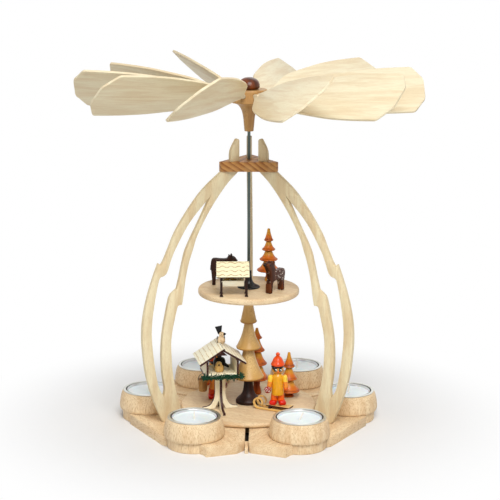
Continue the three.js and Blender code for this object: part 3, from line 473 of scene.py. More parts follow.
def settle(piece, body, nodes):
    """Says which body a piece rides on and which solids it stands for."""
    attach(piece, body)
    if nodes:
        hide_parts(*nodes)
    return piece


def bore(piece, cutter):
    """Cuts one plain piece with another and drops the cutter."""
    step = piece.modifiers.new("bore", "BOOLEAN")
    step.operation, step.solver, step.object = "DIFFERENCE", "EXACT", cutter
    plain(piece)
    bpy.data.objects.remove(cutter)
    piece.data.shade_smooth()
    piece.data.set_sharp_from_angle(angle=CREASE)
    return piece


def plain(piece):
    """Turns a piece with modifiers into a mesh of its own."""
    bpy.context.view_layer.update()
    mesh = bpy.data.meshes.new_from_object(piece.evaluated_get(bpy.context.evaluated_depsgraph_get()))
    piece.modifiers.clear()
    piece.data = mesh
    return piece


# Geometry node trees

class Tree:
    """A geometry node tree whose named inputs are set through a piece's modifier."""

    def __init__(self, name, inputs):
        self.tree = bpy.data.node_groups.new(name, "GeometryNodeTree")
        self.tree.interface.new_socket("Geometry", in_out="INPUT", socket_type="NodeSocketGeometry")
        self.named = {}
        for label, kind in inputs.items():
            item = self.tree.interface.new_socket(label, in_out="INPUT", socket_type=f"NodeSocket{kind}")
            self.named[label] = item.identifier
        self.tree.interface.new_socket("Geometry", in_out="OUTPUT", socket_type="NodeSocketGeometry")
        self.start = self.tree.nodes.new("NodeGroupInput")
        self.end = self.tree.nodes.new("NodeGroupOutput")

    def add(self, kind, settings=None, inputs=None):
        node = self.tree.nodes.new(kind)
        for key, value in (settings or {}).items():
            setattr(node, key, value)
        for key, value in (inputs or {}).items():
            if isinstance(value, bpy.types.NodeSocket):
                self.tree.links.new(value, node.inputs[key])
            else:
                node.inputs[key].default_value = value
        return node

    def given(self, label):
        return self.start.outputs[label]

    def close(self, geometry, finish):
        """Every tree ends by making its copies real and giving them their finish."""
        real = self.add("GeometryNodeRealizeInstances", None, {0: geometry})
        dressed = self.add("GeometryNodeSetMaterial", None, {"Geometry": real.outputs[0], "Material": finish})
        self.tree.links.new(dressed.outputs[0], self.end.inputs[0])

    def grow(self, piece, **values):
        """Runs the tree on a piece and keeps what comes of it."""
        step = piece.modifiers.new(self.tree.name, "NODES")
        step.node_group = self.tree
        for label, value in values.items():
            step[self.named[label.replace("_", " ")]] = value
        return plain(piece)


def ring_tree():
    """Copies of a piece round the carousel's axis."""
    tree = Tree("Ring of copies", {
        "Piece": "Object", "Copies": "Int", "First turn": "Float", "Finish": "Material"})
    line = tree.add("GeometryNodeMeshLine", None, {"Count": tree.given("Copies"), "Offset": (0, 0, 0)})
    index = tree.add("GeometryNodeInputIndex")
    step = tree.add("ShaderNodeMath", {"operation": "DIVIDE"}, {0: 2 * math.pi, 1: tree.given("Copies")})
    turned = tree.add("ShaderNodeMath", {"operation": "MULTIPLY_ADD"}, {
        0: index.outputs[0], 1: step.outputs[0], 2: tree.given("First turn")})
    turn = tree.add("ShaderNodeCombineXYZ", None, {"Z": turned.outputs[0]})
    source = tree.add("GeometryNodeObjectInfo", None, {"Object": tree.given("Piece"), "As Instance": True})
    copies = tree.add("GeometryNodeInstanceOnPoints", None, {
        "Points": line.outputs[0], "Instance": source.outputs["Geometry"], "Rotation": turn.outputs[0]})
    number_of_copy = tree.add("GeometryNodeInputIndex")
    marked = tree.add("GeometryNodeStoreNamedAttribute", {"data_type": "FLOAT", "domain": "INSTANCE"}, {
        "Geometry": copies.outputs[0], "Name": "copy", "Value": number_of_copy.outputs[0]})
    tree.close(marked.outputs[0], tree.given("Finish"))
    return tree


def ring(tree, source, name, copies, first_turn, finish, nodes):
    """Stands copies of a bare piece round the axis as one piece of the stand."""
    piece = bpy.data.objects.new(name, bpy.data.meshes.new(name))
    bpy.context.scene.collection.objects.link(piece)
    tree.grow(piece, Piece=source, Copies=copies, First_turn=first_turn, Finish=made[finish])
    bpy.data.objects.remove(source)
    return settle(piece, "stand", nodes)


def stance_tree():
    """A blade turned about its peg, then raised, swung and lifted to the hub."""
    tree = Tree("Blade in the hub", {
        "Pitch": "Float", "Rise": "Float", "Swing": "Float", "Height": "Float", "Finish": "Material"})
    geometry = tree.start.outputs[0]
    for axis, label in (("X", "Pitch"), ("Y", "Rise"), ("Z", "Swing")):
        value = tree.given(label)
        if axis == "Y":
            value = tree.add("ShaderNodeMath", {"operation": "MULTIPLY"}, {0: value, 1: -1}).outputs[0]
        turn = tree.add("ShaderNodeCombineXYZ", None, {axis: value})
        geometry = tree.add("GeometryNodeTransform", None, {
            "Geometry": geometry, "Rotation": turn.outputs[0]}).outputs[0]
    lift = tree.add("ShaderNodeCombineXYZ", None, {"Z": tree.given("Height")})
    geometry = tree.add("GeometryNodeTransform", None, {
        "Geometry": geometry, "Translation": lift.outputs[0]}).outputs[0]
    tree.close(geometry, tree.given("Finish"))
    return tree


def needle_tree():
    """Needles that stand out from a line, each a little turned."""
    tree = Tree("Garland needles", {
        "Needle": "Object", "Step": "Float", "Seed": "Int", "Finish": "Material"})
    line = tree.add("GeometryNodeMeshToCurve", None, {"Mesh": tree.start.outputs[0]})
    spread = tree.add("GeometryNodeResampleCurve", {"mode": "LENGTH"}, {
        "Curve": line.outputs[0], "Length": tree.given("Step")})
    tilt = tree.add("FunctionNodeRandomValue", {"data_type": "FLOAT_VECTOR"}, {
        0: [-most for most in NEEDLE_TILT], 1: NEEDLE_TILT, "Seed": tree.given("Seed")})
    grow = tree.add("FunctionNodeRandomValue", {"data_type": "FLOAT"}, {
        2: NEEDLE_GROWTH[0], 3: NEEDLE_GROWTH[1], "Seed": tree.given("Seed")})
    source = tree.add("GeometryNodeObjectInfo", None, {"Object": tree.given("Needle"), "As Instance": True})
    copies = tree.add("GeometryNodeInstanceOnPoints", None, {
        "Points": spread.outputs[0], "Instance": source.outputs["Geometry"],
        "Rotation": tilt.outputs[0], "Scale": grow.outputs[1]})
    tree.close(copies.outputs[0], tree.given("Finish"))
    return tree


# Finishes

class Value:
    """A number on its way through a node tree, which takes Python's arithmetic."""

    def __init__(self, nodes, socket):
        self.nodes, self.socket = nodes, socket

    def _with(self, operation, a, b):
        return self.nodes.add("ShaderNodeMath", {"operation": operation}, {0: a, 1: b})

    def __add__(self, other):
        return self._with("ADD", self, other)

    def __mul__(self, other):
        return self._with("MULTIPLY", self, other)

    def __sub__(self, other):
        return self._with("SUBTRACT", self, other)

    def __rsub__(self, other):
        return self._with("SUBTRACT", other, self)

    def __truediv__(self, other):
        return self._with("DIVIDE", self, other)

    def __rtruediv__(self, other):
        return self._with("DIVIDE", other, self)

    __radd__, __rmul__ = __add__, __mul__

    def span(self, a, b):
        """0 up to a and 1 from b, with a soft step between."""
        return self.nodes.add("ShaderNodeMapRange", {"interpolation_type": "SMOOTHSTEP"}, {
            "Value": self, "From Min": a, "From Max": b})


def linear(rgb):
    """A colour as it shows on a screen, in the light's own numbers."""
    return tuple(c / 12.92 if c <= 0.04045 else ((c + 0.055) / 1.055) ** 2.4 for c in rgb) + (1.0,)


def darker(rgb, share, warmth=0.0):
    """A colour at a share of its strength; warmth takes that much more from green, and twice from blue."""
    return linear([c * share * (1 - warmth * k) for k, c in enumerate(rgb)])


WHITE = (1, 1, 1, 1)
WARMTH = 0.10      # how much warmer the dark parts of a timber are


class Nodes:
    """The node tree of a material or of the world, filled through one method."""

    def __init__(self, tree):
        self.tree = tree
        tree.nodes.clear()

    def put(self, socket, value):
        """Links a value to a socket, or sets the socket to a plain one."""
        if isinstance(value, Value):
            self.tree.links.new(value.socket, socket)
        else:
            socket.default_value = value

    def add(self, kind, settings=None, inputs=None, output=0):
        """A new node; its settings go by name and its inputs by name or number."""
        node = self.tree.nodes.new(kind)
        for key, value in (settings or {}).items():
            setattr(node, key, value)
        for key, value in (inputs or {}).items():
            self.put(node.inputs[key], value)
        return Value(self, node.outputs[output])

    def mix(self, share, a, b):
        """Colour a, with b laid over it by a share."""
        return self.add("ShaderNodeMix", {"data_type": "RGBA"}, {0: share, 6: a, 7: b}, 2)

    def seen(self):
        """At least 1 for rays that show the background: straight, mirrored or through glass."""
        camera, glossy, through = (
            self.add("ShaderNodeLightPath", None, None, f"Is {kind} Ray")
            for kind in ("Camera", "Glossy", "Transmission"))
        return camera + glossy + through


class Finish(Nodes):
    """A material and the nodes of its surface."""

    def __init__(self, name, **sockets):
        self.material = bpy.data.materials.new(name)
        self.material.use_nodes = True
        super().__init__(self.material.node_tree)
        self.out = self.tree.nodes.new("ShaderNodeOutputMaterial")
        self.shader = self.tree.nodes.new("ShaderNodeBsdfPrincipled")
        self.tree.links.new(self.shader.outputs[0], self.out.inputs[0])
        self.set(**sockets)

    def set(self, **sockets):
        """Sets or links the surface's sockets, with underscores for the spaces in their names."""
        for name, value in sockets.items():
            self.put(self.shader.inputs[name.replace("_", " ")], value)
        return self

    def own_place(self):
        """The place on the object, in metres."""
        return self.add("ShaderNodeTexCoord", None, None, "Object")

    def axis(self, place, k):
        """One of a place's three numbers."""
        return self.add("ShaderNodeSeparateXYZ", None, {0: place}, k)

    def timber(self, stretch=(1, 1, 1)):
        """The place in the timber in millimetres, stretched, and shifted for each copy of a piece."""
        place = self.add("ShaderNodeAttribute", {"attribute_name": "timber"}, None, "Vector")
        copy = self.add("ShaderNodeAttribute", {"attribute_name": "copy"}, None, "Fac")
        shift = self.add("ShaderNodeVectorMath", {"operation": "SCALE"}, {0: COPY_STEP, 3: copy})
        moved = self.add("ShaderNodeVectorMath", {"operation": "ADD"}, {0: place, 1: shift})
        return self.add("ShaderNodeVectorMath", {"operation": "MULTIPLY"}, {0: moved, 1: stretch})

    def noise(self, place, detail, rough=0.5, twist=0.0, scale=1.0):
        """Soft noise between 0 and 1."""
        return self.add("ShaderNodeTexNoise", None, {
            "Vector": place, "Scale": scale, "Detail": detail, "Roughness": rough, "Distortion": twist})

    def grain(self, along, across, detail, rough=0.5, twist=0.0):
        """Noise in the timber, as steps per millimetre along and across its grain."""
        return self.noise(self.timber((along, across, across)), detail, rough, twist)

    def maths(self, operation, *values):
        """A mathematical function of one or more values."""
        return self.add("ShaderNodeMath", {"operation": operation}, dict(enumerate(values)))

    def bump(self, height, strength, distance=0.0002):
        """Lets a height stand out on the surface, by a distance in metres."""
        self.set(Normal=self.add("ShaderNodeBump", None, {
            "Strength": strength, "Distance": distance, "Height": height}))
        return self


COPY_STEP = (80.3, 34.1, 62.7)      # how far apart the copies of a piece are cut from the timber


def wood(name, rgb, dark=0.80, flecks=0.5, bands=0.5, roughness=0.5, coat=0.0, burn=()):
    """Planed or turned timber: broad bands, fine fibres and short dark flecks along the grain."""
    finish = Finish(name, Coat_Weight=coat, Coat_Roughness=0.25, Specular_IOR_Level=0.22)
    band = finish.grain(0.02, 0.16, 2.0, 0.5, 0.6)
    fibre = finish.grain(0.09, 1.9, 3.0, 0.6)
    fleck = finish.grain(0.26, 2.3, 1.0)
    mask = fleck.span(0.50, 0.68) * flecks
    shade = darker(rgb, dark, WARMTH)
    tint = finish.mix(band.span(0.35, 0.68) * bands, linear(rgb), shade)
    tint = finish.mix(fibre.span(0.42, 0.72) * (0.35 * bands + 0.15), tint, shade)
    tint = finish.mix(mask, tint, darker(rgb, 0.83, WARMTH))
    if burn:
        burnt = finish.add("ShaderNodeAttribute", {"attribute_name": "burn"}, None, "Fac")
        patchy = burnt + (band - 0.5) * 0.35
        for reach, char in zip(((0.12, 0.62), (0.62, 1.05)), burn):
            tint = finish.mix(patchy.span(*reach), tint, linear(char))
    finish.set(Base_Color=tint, Roughness=fibre * 0.16 + (roughness - 0.08) + mask * 0.1)
    return finish.bump(fibre * 0.7 + fleck * 0.3, 0.25, 0.00015).material


def striped_wood(name, rgb):
    """End grain with slanting growth rings."""
    finish = Finish(name, Specular_IOR_Level=0.3)
    place = finish.timber()
    cloud = finish.noise(place, 2.0, scale=0.09)
    fine = finish.grain(0.4, 2.2, 3.0)
    slanted = finish.add("ShaderNodeMapping", None, {"Vector": place, "Rotation": (0.1, 0.95, 0.25)})
    saw = {"wave_type": "BANDS", "bands_direction": "X", "wave_profile": "SAW"}
    rings = finish.add("ShaderNodeTexWave", saw, {
        "Vector": slanted, "Scale": 0.082, "Distortion": 2.6, "Detail": 2.0, "Detail Scale": 0.4}, "Fac")
    late = [c * share for c, share in zip(rgb, (0.72, 0.58, 0.42))]
    tint = finish.mix(rings.span(0.25, 0.95), linear(rgb), linear(late))
    tint = finish.mix(cloud.span(0.4, 0.7) * 0.4, tint, linear((0.86, 0.68, 0.44)))
    tint = finish.mix(fine.span(0.5, 0.8) * 0.35, tint, linear((0.42, 0.25, 0.10)))
    finish.set(Base_Color=tint, Roughness=fine * 0.2 + 0.36)
    return finish.bump(fine, 0.25).material


def paint(name, rgb, roughness=0.35, wear=0.25, coat=0.3, dark=0.7):
    """Brushed paint over turned wood: a little uneven, with the grain just showing."""
    finish = Finish(name, Coat_Weight=coat, Coat_Roughness=0.2, Specular_IOR_Level=0.3)
    cloud = finish.grain(0.35, 0.35, 3.0)
    fibre = finish.grain(0.2, 2.4, 2.0)
    tint = finish.mix(cloud.span(0.35, 0.7) * wear, linear(rgb), darker(rgb, dark))
    worn = linear([min(1, c * 1.12 + 0.02) for c in rgb])
    tint = finish.mix(fibre.span(0.5, 0.75) * wear * 0.6, tint, worn)
    finish.set(Base_Color=tint, Roughness=cloud * 0.2 + (roughness - 0.1))
    return finish.bump(fibre, 0.15).material


def dotted(name, rgb, dot, scale, dot_size):
    """Paint with small round dots of another colour."""
    finish = Finish(name, Coat_Weight=0.1, Coat_Roughness=0.2, Specular_IOR_Level=0.3)
    cell = finish.add("ShaderNodeTexVoronoi", {"feature": "F1"}, {
        "Vector": finish.timber(), "Scale": scale, "Randomness": 0.75})
    cloud = finish.grain(0.3, 1.2, 3.0)
    tint = finish.mix(cloud.span(0.35, 0.7) * 0.5, linear(rgb), darker(rgb, 0.62))
    tint = finish.mix(1 - cell.span(dot_size * 0.8, dot_size), tint, linear(dot))
    finish.set(Base_Color=tint, Roughness=cloud * 0.2 + 0.32)
    return finish.bump(cloud, 0.12).material


def boarded(name, rgb, line, width, wave=0.0):
    """Pale board with thin burnt lines at even steps, as if it were laid in strips."""
    finish = Finish(name, Specular_IOR_Level=0.22)
    place = finish.timber()
    along, across = finish.axis(place, 0), finish.axis(place, 1)
    if wave:
        across = across + finish.maths("SINE", along * wave) * (width * 0.16)
    wobble = (finish.grain(0.25, 0.25, 1.0) - 0.5) * (width * 0.35)
    strip = finish.maths("FRACT", (across + wobble) / width)
    near = finish.maths("PINGPONG", strip + 0.5, 0.5)
    broken = finish.grain(0.35, 0.8, 2.0).span(0.30, 0.52)
    mask = (1 - near.span(0.05, 0.13)) * broken
    fibre = finish.grain(0.1, 1.8, 3.0)
    tint = finish.mix(fibre.span(0.4, 0.75) * 0.4, linear(rgb), darker(rgb, 0.82))
    tint = finish.mix(mask * 0.85, tint, linear(line))
    finish.set(Base_Color=tint, Roughness=fibre * 0.15 + 0.42)
    return finish.bump(fibre * 0.3 - mask, 0.3).material


def metal(name, rgb, roughness, brushed, stretch, rim=None):
    """Brushed metal; where a rim's height in millimetres is given, it is darker below that rim, as painted
    shade inside the bowl.
    """
    finish = Finish(name, Metallic=1.0)
    streak = finish.noise(finish.timber(stretch), 3.0)
    cloud = finish.grain(0.12, 0.12, 2.0)
    tint = finish.mix(cloud.span(0.3, 0.75) * 0.35, linear(rgb), darker(rgb, 0.8))
    # Painted shade: below the rim the metal takes a darker colour, as the shade inside the liner's bowl.
    if rim is not None:
        height = finish.axis(finish.own_place(), 2)
        tint = finish.mix(height.span((rim - 1.6) * MM, (rim - 0.6) * MM), darker(rgb, 0.72), tint)
    finish.set(Base_Color=tint, Roughness=streak * brushed + roughness)
    return finish.bump(streak, 0.1, 0.00005).material


def wax():
    """White wax, a little cloudy and uneven."""
    finish = Finish("wax", Subsurface_Weight=0.25, Subsurface_Scale=0.004, Coat_Weight=0.15)
    cloud = finish.grain(0.12, 0.12, 3.0)
    fine = finish.grain(0.9, 0.9, 2.0)
    tint = finish.mix(cloud, linear((0.95, 0.95, 0.95)), linear((0.89, 0.91, 0.93)))
    finish.set(Base_Color=tint, Roughness=cloud * 0.2 + 0.32)
    return finish.bump(cloud * 0.7 + fine * 0.3, 0.35, 0.0006).material


def glass():
    """The clear glass of the bearing."""
    finish = Finish("bearing_glass", Transmission_Weight=0.9, IOR=1.48)
    cloud = finish.noise(finish.own_place(), 2.0, scale=0.5 / MM)
    tint = finish.mix(cloud, linear((0.93, 0.97, 0.97)), linear((0.86, 0.92, 0.92)))
    finish.set(Base_Color=tint, Roughness=cloud * 0.1 + 0.04)
    return finish.material


made = {}


def make_finishes(c):
    """Makes each finish once; a wood's numbers are its dark share, flecks, bands, roughness and coat."""
    burnt_tier = ((0.79, 0.62, 0.35), (0.62, 0.43, 0.21))
    burnt_tree = ((0.84, 0.43, 0.07), (0.48, 0.15, 0.02))
    made.update({
        "beech": wood("beech", c.beech, 0.88, 0.95, 0.45),
        "disc": wood("disc_beech", [0.97 * k for k in c.beech], 0.9, 0.6, 0.4),
        "blade": wood("blade_wood", c.pale, 0.90, 0.12, 0.45, 0.48),
        "arch": wood("arch_wood", c.arch, 0.90, 0.25, 0.5, 0.5),
        "hub": wood("hub_wood", (0.74, 0.58, 0.36), 0.8, 0.6, 0.7, 0.42, 0.15),
        "tier": wood("tier_wood", c.tier, 0.84, 0.9, 0.7, 0.42, 0.2, burnt_tier),
        "scorched": wood("scorched_wood", c.scorched, 0.85, 0.4, 0.6, 0.4, 0.15, burnt_tree),
        "cap": wood("cap_brown", (0.45, 0.21, 0.05), 0.5, 0.5, 0.9, 0.3, 0.2),
        "dark": wood("dark_wood", (0.19, 0.085, 0.04), 0.5, 0.3, 0.9, 0.45),
        "legs": wood("deer_leg", (0.43, 0.21, 0.06), 0.5, 0.6, 1.0, 0.45),
        "cream": wood("cream_board", c.cream, 0.93, 0.15, 0.3, 0.5),
        "hay": wood("hay", (0.88, 0.75, 0.45), 0.7, 0.9, 1.0, 0.8),
        "skin": wood("face_wood", c.skin, 0.85, 0.2, 0.4, 0.45, 0.1),
        "sled": wood("sled_wood", (0.92, 0.76, 0.46), 0.82, 0.3, 0.6, 0.4, 0.2),
        "plate": striped_wood("plate_wood", c.plate),
        "planks": boarded("roof_planks", c.cream, (0.80, 0.70, 0.50), 4.1),
        "thatch": boarded("rack_roof", (0.96, 0.93, 0.78), (0.68, 0.50, 0.30), 4.2, 0.9),
        "edge": paint("burnt_edge", (0.24, 0.09, 0.06), 0.5, 0.6, 0.0, 0.5),
        "black": paint("black_paint", (0.035, 0.03, 0.035), 0.35, 0.5, 0.05),
        "white": paint("white_paint", (0.95, 0.94, 0.90), 0.4, 0.2, 0.2, 0.85),
        "yellow": paint("yellow_paint", c.yellow, 0.3, 0.35, 0.4, 0.82),
        "straw": paint("straw_paint", (0.97, 0.80, 0.25), 0.35, 0.35, 0.2, 0.8),
        "amber": paint("amber_paint", (0.93, 0.55, 0.12), 0.3, 0.35, 0.4, 0.8),
        "red": paint("red_paint", c.red, 0.3, 0.35, 0.2, 0.72),
        "boots": paint("boot_paint", (0.84, 0.10, 0.015), 0.35, 0.35, 0.15, 0.72),
        "orange": paint("orange_paint", (0.93, 0.40, 0.06), 0.3, 0.35, 0.25, 0.78),
        "green": paint("garland_green", c.green, 0.7, 0.8, 0.0, 0.5),
        "wick": paint("wick", (0.97, 0.95, 0.91), 0.8, 0.4, 0.0, 0.8),
        "fawn": dotted("spotted_coat", (0.30, 0.14, 0.06), (0.93, 0.88, 0.82), 0.44, 0.25),
        "dots": dotted("dotted_red", (0.60, 0.08, 0.06), (0.95, 0.93, 0.88), 0.85, 0.36),
        "steel": metal("shaft_steel", (0.36, 0.40, 0.38), 0.22, 0.25, (3.0, 3.0, 0.15)),
        # The liners carry painted shade below their rim.
        "liner": metal("liner_metal", (0.84, 0.84, 0.81), 0.24, 0.15, (0.2, 0.2, 3.0), high("cup_liner_1")),
        "foil": metal("foil", (0.90, 0.90, 0.90), 0.22, 0.2, (0.6, 0.6, 0.2)),
        "wax": wax(),
        "glass": glass(),
    })


# Operators

class Step:
    """What all steps share."""
    bl_options = {"REGISTER", "UNDO"}


class CAROUSEL_OT_finishes(Step, bpy.types.Operator):
    """Make every wood, paint, metal and wax finish."""
    bl_idname = "carousel.finishes"
    bl_label = "Finishes"

    def execute(self, context):
        make_finishes(context.scene.carousel_colours)
        return {"FINISHED"}


class CAROUSEL_OT_base(Step, bpy.types.Operator):
    """Ease the edges of the base boards and finish the plate and bearing below them."""
    bl_idname = "carousel.base"
    bl_label = "Base"

    def execute(self, context):
        for k, side in enumerate(("back", "left", "right")):
            node = f"base_board_{side}"
            Shape().copy_of(node, 0.7, 180 + 120 * k).make(f"board_{side}", "stand", [node])
        Shape().copy_of("base_plate", 0.4, 15).make("plate_under", "stand", ["base_plate"])
        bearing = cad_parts["glass_bearing"]
        bearing.data.materials.clear()
        bearing.data.materials.append(made["glass"])
        return {"FINISHED"}


def sawn_arch(s):
    """One sawn arch with its slit, its finger above the top plate and its tenon below."""
    reach, rise, board = s.arch_reach / MM, s.arch_rise / MM, s.arch_board / MM
    inner, outer = s.finger_in / MM, s.finger_out / MM
    tenon, tenon_length, overlap = 3, 14, 0.1
    bottom = low("arch_back") + tenon
    plate_top = high("top_plate") - bottom
    finger_rise = high("arch_back") - bottom - plate_top
    line = scaled(ARCH_OUTER, reach, rise) + scaled(ARCH_INNER, reach, rise)
    line += scaled(FINGER_TOP, outer - inner, finger_rise, (inner, plate_top)) + [(outer, rise)]
    a, b = len(ARCH_OUTER), len(ARCH_OUTER) + len(ARCH_INNER)
    corners = {0, 7, a - 1, a, a + 10, b - 1, b, len(line) - 2, len(line) - 1}
    slit = flowing(scaled(ARCH_SLIT, reach, rise), {0, 6, 15, 24})
    arch = Shape("arch")
    arch.board(flowing(line, corners), board, s.edge / MM, at(z=bottom) @ STAND_UP, GRAIN_UP, [slit])
    foot = (ARCH_OUTER[-1][0] + ARCH_INNER[0][0]) / 2 * reach
    arch.block(tenon_length, board, tenon + overlap, at(foot, 0, bottom) @ at(z=-tenon), 0.1)
    return arch.bare("arch")


class CAROUSEL_OT_arches(Step, bpy.types.Operator):
    """Saw one arch with its slit and finger, and stand its copies round the axis."""
    bl_idname = "carousel.arches"
    bl_label = "Arches"

    def execute(self, context):
        s = context.scene.carousel_stand
        nodes = ["arch_back", "arch_left", "arch_right"]
        ring(ring_tree(), sawn_arch(s), "arches", s.arch_count, math.pi / 2, "arch", nodes)
        return {"FINISHED"}


class CAROUSEL_OT_top_plate(Step, bpy.types.Operator):
    """Ease the top plate's edges and give it its striped wood."""
    bl_idname = "carousel.top_plate"
    bl_label = "Top plate"

    def execute(self, context):
        Shape("plate").copy_of("top_plate", 0.5).make("plate_top", "stand", ["top_plate"], "plate_wood")
        return {"FINISHED"}


def cup(s):
    """A turned cup with its foot in the board's notch and its bore round the liner."""
    foot, belly, rim = s.cup_foot / MM, s.cup_belly / MM, s.cup_rim / MM
    step, top = high("base_board_back") + GAP, high("candle_cup_1")
    bore_radius, floor = s.liner_bore / MM + LINER_WALL + GAP, low("cup_liner_1") - GAP
    side = flowing([
        (belly - 0.5, step), (belly - 0.05, step + 1.6), (belly, step + 4), (belly - 0.45, step + 8),
        (belly - 1.4, step + 12.4), (rim - 0.1, top - 1.2), (rim - 1.1, top)], (0, 5, 6), closed=False)
    profile = [(0, 0), (foot - 0.5, 0), (foot, 0.5), (foot, step - 0.2)] + side
    profile += [(bore_radius + 0.3, top), (bore_radius, top - 0.3), (bore_radius, floor), (0, floor)]
    return Shape().turned(eased(profile, 0.4), 96, at(s.cup_ring / MM), GRAIN_Z).bare("cup")


def liner(s):
    """A thin metal liner whose flange lies on the cup."""
    bore_radius, flange = s.liner_bore / MM, s.liner_flange / MM
    under, lip = low("cup_liner_1"), high("cup_liner_1")
    profile = [
        (0, under), (bore_radius + LINER_WALL, under), (bore_radius + LINER_WALL, lip - LINER_WALL),
        (flange, lip - LINER_WALL), (flange, lip), (bore_radius, lip), (bore_radius, under + LINER_WALL),
        (0, under + LINER_WALL)]
    return Shape("liner").turned(eased(profile, 0.28), 80, at(s.cup_ring / MM)).bare("liner")


class CAROUSEL_OT_cups(Step, bpy.types.Operator):
    """Turn one cup and one liner, and stand their copies in the base's notches."""
    bl_idname = "carousel.cups"
    bl_label = "Cups and liners"

    def execute(self, context):
        s = context.scene.carousel_stand
        tree = ring_tree()
        for form, name, node, finish in (
                (cup, "cups", "candle_cup", "beech"), (liner, "liners", "cup_liner", "liner")):
            nodes = [f"{node}_{k + 1}" for k in range(s.cup_count)]
            ring(tree, form(s), name, s.cup_count, 0.0, finish, nodes)
        return {"FINISHED"}


def tea_light(s, place, lean):
    """A foil cup with rolled rim, its wax and a wick that leans by a share."""
    radius, rim = s.light_radius / MM, s.light_height / MM
    wax_top = rim - 2.6
    foil = [
        (0, 0), (radius - 1.5, 0), (radius - 0.2, 0.9), (radius - 0.25, rim - 0.9), (radius, rim - 0.25),
        (radius - 0.2, rim), (radius - 0.55, rim - 0.3), (radius - 0.5, rim - 3.4), (0, rim - 3.4)]
    wax_form = [
        (0, rim - 3.3), (radius - 0.7, rim - 3.3), (radius - 0.62, wax_top + 0.5),
        (radius - 1.3, wax_top + 0.05), (radius * 0.5, wax_top - 0.12), (3.2, wax_top - 0.3),
        (1.2, wax_top - 0.15), (0, wax_top)]
    light = Shape("foil").turned(eased(foil, 0.3), 72, place)
    light.turned(wax_form, 64, place, finish="wax")
    centre = place @ Vector((0, 0, wax_top - 0.4))
    tip = centre + Vector((s.wick_lean / MM * lean, 0, s.wick / MM))
    return light.limb(centre, tip, 0.75, 0.6, 12, "wick")


class CAROUSEL_OT_tea_lights(Step, bpy.types.Operator):
    """Press the foil cups, pour their wax and set their wicks."""
    bl_idname = "carousel.tea_lights"
    bl_label = "Tea lights"

    def execute(self, context):
        s = context.scene.carousel_stand
        for k in range(s.cup_count):
            node = f"tea_light_{k + 1}"
            place = at(turn=360 * k / s.cup_count) @ at(s.cup_ring / MM, 0, low(node), 40 * k)
            light = tea_light(s, place, WICK_LEAN[k % len(WICK_LEAN)])
            light.make(f"light_{k + 1}", f"light_{k + 1}", [node], "tea_light")
        return {"FINISHED"}


def hub(r, shaft_radius, shaft_top):
    """The turned hub, bored for the shaft and for each blade's peg."""
    bottom, top = low("hub"), high("hub")
    profile = scaled(HUB, radius_of("hub"), top - bottom, (0, bottom))
    side = eased(flowing(profile, (0, 6, 7, 8), 6, False), 0.4)
    piece = Shape("hub").turned([(0, bottom)] + side + [(0, top)], 96, None, GRAIN_Z).bare("hub_turned")
    shaft_bore, peg_bore, start = shaft_radius + BORE_GAP, r.peg / MM + GAP, PEG_START - GAP
    cutter = Shape().turned(
        [(0, bottom - 2), (shaft_bore, bottom - 2), (shaft_bore, shaft_top + GAP), (0, shaft_top + GAP)], 32)
    for k in range(len(BLADE_PITCH)):
        turn = math.degrees(r.turn) + 360 * k / len(BLADE_PITCH) + math.degrees(r.swing) * BLADE_SWING[k]
        place = at(z=r.blade_height / MM, turn=turn) @ tipped(-r.rise * BLADE_RISE[k], "Y")
        cutter.turned([(0, start), (peg_bore, start), (peg_bore, 20), (0, 20)], 20, place @ LIE_ALONG)
    bore(piece, cutter.bare("cutter"))
    piece.data.materials.clear()
    piece.data.materials.append(made["hub"])
    return settle(piece, "rotor", ["hub"])


def cap():
    """The ball cap, a little smaller than its solid, as the photograph shows it."""
    bottom = low("cap_ball")
    profile = scaled(CAP, radius_of("cap_ball") * 0.95, (high("cap_ball") - bottom) * 0.92, (0, bottom))
    form = Shape("cap").turned([(0, bottom)] + flowing(profile, (0,), closed=False), 64, None, GRAIN_Z)
    return form.make("cap_turned", "rotor", ["cap_ball"], "cap_brown", 50)


def collar(hole):
    """The black collar that flares onto the upper disc."""
    bottom, top = low("shaft_collar"), high("shaft_collar")
    profile = scaled(COLLAR, radius_of("shaft_collar"), top - bottom, (0, bottom))
    rows = [(hole, bottom)] + flowing(profile, (0,), closed=False) + [(hole, top)]
    form = Shape("black").turned(rows, bored=True)
    return form.make("collar_turned", "rotor", ["shaft_collar"], "black_paint")


class CAROUSEL_OT_shaft(Step, bpy.types.Operator):
    """Turn the shaft, its collar, the hub and the cap."""
    bl_idname = "carousel.shaft"
    bl_label = "Shaft, hub and cap"

    def execute(self, context):
        radius, bottom, top = radius_of("shaft"), low("shaft"), high("shaft")
        rod = [(0, bottom), (radius, bottom + 3), (radius, top - 0.3), (radius - 0.3, top), (0, top)]
        Shape("steel").turned(rod, 32).make("shaft_rod", "rotor", ["shaft"], "steel")
        hub(context.scene.carousel_rotor, radius, top)
        cap()
        collar(radius + BORE_GAP)
        return {"FINISHED"}


